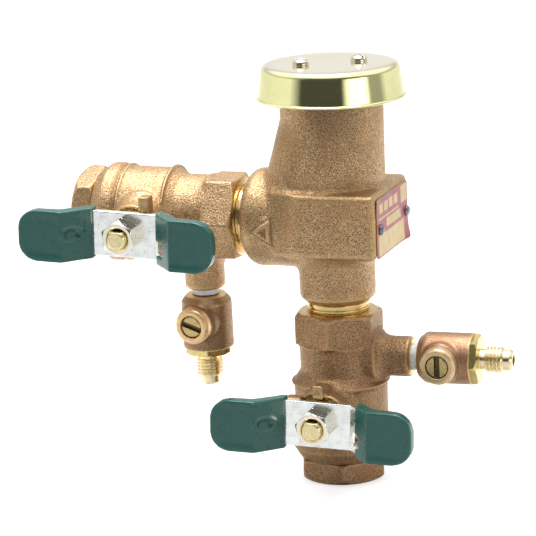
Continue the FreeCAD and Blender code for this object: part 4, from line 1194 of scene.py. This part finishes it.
# ------------------------------------------------------------------ stage
AZIMUTH, ELEVATION = math.radians(19.51), math.radians(13.44)
CAMERA_ROLL = math.radians(2.34)
CAMERA_PLACE = (0.31946, -0.97429, 0.32167)
TOWARD_CAMERA = (math.sin(AZIMUTH), -math.cos(AZIMUTH))    # in plan
CAMERA_RIGHT = (math.cos(AZIMUTH), math.sin(AZIMUTH))      # in plan
FLOOR_HALF, FLOOR_CELLS = 14.0, 28
FLOOR_GAP = 0.0002
LIGHT_TARGET = (-0.02, 0.0, 0.08)


def floor_material():
    """Paper, evenly white to the camera apart from the soft shadow; clear from below."""
    mat = Material("floor_paper")
    x, y, _ = mat.split(mat.position)
    toward = mat.along(x, y, TOWARD_CAMERA)
    camera_ray = mat.node("LightPath").outputs["Is Camera Ray"]
    cloud = mat.remap(mat.noise(size=60.0, detail=3.0), over=(0.4, 0.6))
    paper = mat.mix(cloud, (0.40, 0.40, 0.40, 1), (0.42, 0.42, 0.42, 1))
    # what the piece reflects darkens towards the camera
    sweep = mat.mix(mat.remap(toward, over=(-0.13, 0.10)), (0.90, 0.90, 0.89, 1),
                    (0.44, 0.44, 0.44, 1))
    mat.set(color=mat.mix(camera_ray, sweep, paper), spec=0.2,
            rough=mat.remap(mat.noise(size=14.0), over=(0.3, 0.7), to=(0.65, 0.8)))
    fibre = mat.noise(size=1.2, detail=3.0, rough=0.6)
    mat.set(normal=mat.bump(fibre, mm=0.02, strength=0.5))
    glow = mat.node("Emission")
    glow.inputs["Color"].default_value = (1.0, 1.0, 1.0, 1)
    mat.put(glow.inputs["Strength"], mat.mul(camera_ray, 0.70))
    lit = mat.node("AddShader")
    mat.put(lit.inputs[0], mat.bsdf.outputs[0])
    mat.put(lit.inputs[1], glow.outputs[0])
    clear = mat.node("BsdfTransparent")
    surface = mat.node("MixShader")
    backfacing = mat.node("NewGeometry").outputs["Backfacing"]
    mat.put(surface.inputs[0], mat.mul(backfacing, camera_ray))
    mat.put(surface.inputs[1], lit.outputs[0])
    mat.put(surface.inputs[2], clear.outputs[0])
    mat.put(mat.output.inputs["Surface"], surface.outputs[0])
    return mat.material


def build_floor():
    mesh = bpy.data.meshes.new("floor")
    steps = [-FLOOR_HALF + 2 * FLOOR_HALF * i / FLOOR_CELLS for i in range(FLOOR_CELLS + 1)]
    row = FLOOR_CELLS + 1
    corners = [i * row + j for i in range(FLOOR_CELLS) for j in range(FLOOR_CELLS)]
    mesh.from_pydata([(x, y, 0.0) for x in steps for y in steps], [],
                     [(c, c + row, c + row + 1, c + 1) for c in corners])
    floor = new_object("floor", mesh)
    floor.location.z = CAD_BOX[0].z - FLOOR_GAP
    mesh.materials.append(floor_material())


def grey(value):
    return (value, value, value * 0.985, 1)


# (degrees from the camera's side, positive to its right, brightness) around the horizon;
# None is the far side. The band has a dark opening and one bright window.
BAND_STOPS = [(None, 0.90), (-70, 1.05), (-50, 0.07), (16, 0.07), (30, 2.3), (54, 2.3),
              (64, 0.40), (84, 0.40), (97, 0.98), (None, 0.95)]
UPPER_STOPS = [(None, 0.70), (-78, 0.62), (-40, 0.10), (40, 0.10), (78, 0.42), (None, 0.70)]


def sky_ramp(sky, around, stops):
    places = [0.0] + [(degrees + 180.0) / 360.0 for degrees, _ in stops[1:-1]] + [1.0]
    return sky.ramp(around, [(place, grey(value)) for place, (_, value) in zip(places, stops)])


def build_world():
    """A white tent open towards the camera, where it is dark, with a window to the right."""
    world = bpy.data.worlds.new("studio")
    SCENE.world = world
    sky = Shader(world, "OutputWorld")
    background = sky.node("Background")
    sky.put(sky.output.inputs[0], background.outputs[0])
    x, y, z = sky.split(sky.coords["Generated"])
    forward = sky.along(x, y, TOWARD_CAMERA)
    sideways = sky.along(x, y, CAMERA_RIGHT)
    angle = sky.math("ARCTAN2", sideways, forward)
    around = sky.math("MULTIPLY_ADD", angle, 1 / (2 * math.pi), 0.5)
    band = sky_ramp(sky, around, BAND_STOPS)
    upper = sky_ramp(sky, around, UPPER_STOPS)
    # the window is low; above it the tent turns plain, and over the top it is bright
    above_band = sky.remap(z, over=(0.16, 0.30), smooth=True)
    lean = sky.mul(sky.math("MAXIMUM", forward, 0.0), -0.22)
    overhead = sky.remap(sky.add(z, lean), over=(0.30, 0.62), smooth=True)
    color = sky.mix(above_band, band, upper)
    color = sky.mix(overhead, color, grey(1.25))
    color = sky.mix(sky.remap(z, over=(-0.02, -0.12)), color, grey(0.5))
    sky.put(background.inputs["Color"], color)
    background.inputs["Strength"].default_value = 0.985


def area_light(name, width, height, power, place, glossy=True):
    light = bpy.data.lights.new(name, "AREA")
    light.shape = "RECTANGLE"
    light.size, light.size_y = width, height
    light.energy = power
    ob = bpy.data.objects.new(name, light)
    SCENE.collection.objects.link(ob)
    ob.location = place
    ob.rotation_mode = "QUATERNION"
    ob.rotation_quaternion = (Vector(LIGHT_TARGET) - Vector(place)).to_track_quat("-Z", "Y")
    ob.visible_glossy = glossy


def build_camera():
    data = bpy.data.cameras.new("camera")
    camera = bpy.data.objects.new("camera", data)
    SCENE.collection.objects.link(camera)
    back = Vector((math.sin(AZIMUTH) * math.cos(ELEVATION),
                   -math.cos(AZIMUTH) * math.cos(ELEVATION), math.sin(ELEVATION)))
    right = Vector((*CAMERA_RIGHT, 0.0))
    up = back.cross(right)
    local_x = right * math.cos(CAMERA_ROLL) - up * math.sin(CAMERA_ROLL)
    local_y = right * math.sin(CAMERA_ROLL) + up * math.cos(CAMERA_ROLL)
    rows = zip(local_x, local_y, back, CAMERA_PLACE)
    camera.matrix_world = Matrix((*rows, (0, 0, 0, 1)))
    data.lens = 201.49
    data.sensor_width = 36.0
    data.clip_start, data.clip_end = 0.05, 60.0
    SCENE.camera = camera


build_floor()
build_world()
area_light("top_box", 0.6, 0.6, power=10.5, place=(-0.10, 0.05, 0.95))
area_light("right_box", 0.5, 0.6, power=1.2, place=(0.62, -0.42, 0.42), glossy=False)
area_light("left_box", 0.5, 0.5, power=1.5, place=(-0.70, -0.50, 0.55), glossy=False)
build_camera()
SCENE.view_settings.view_transform = "Standard"
SCENE.view_settings.look = "None"
SCENE.view_settings.exposure = 0.0
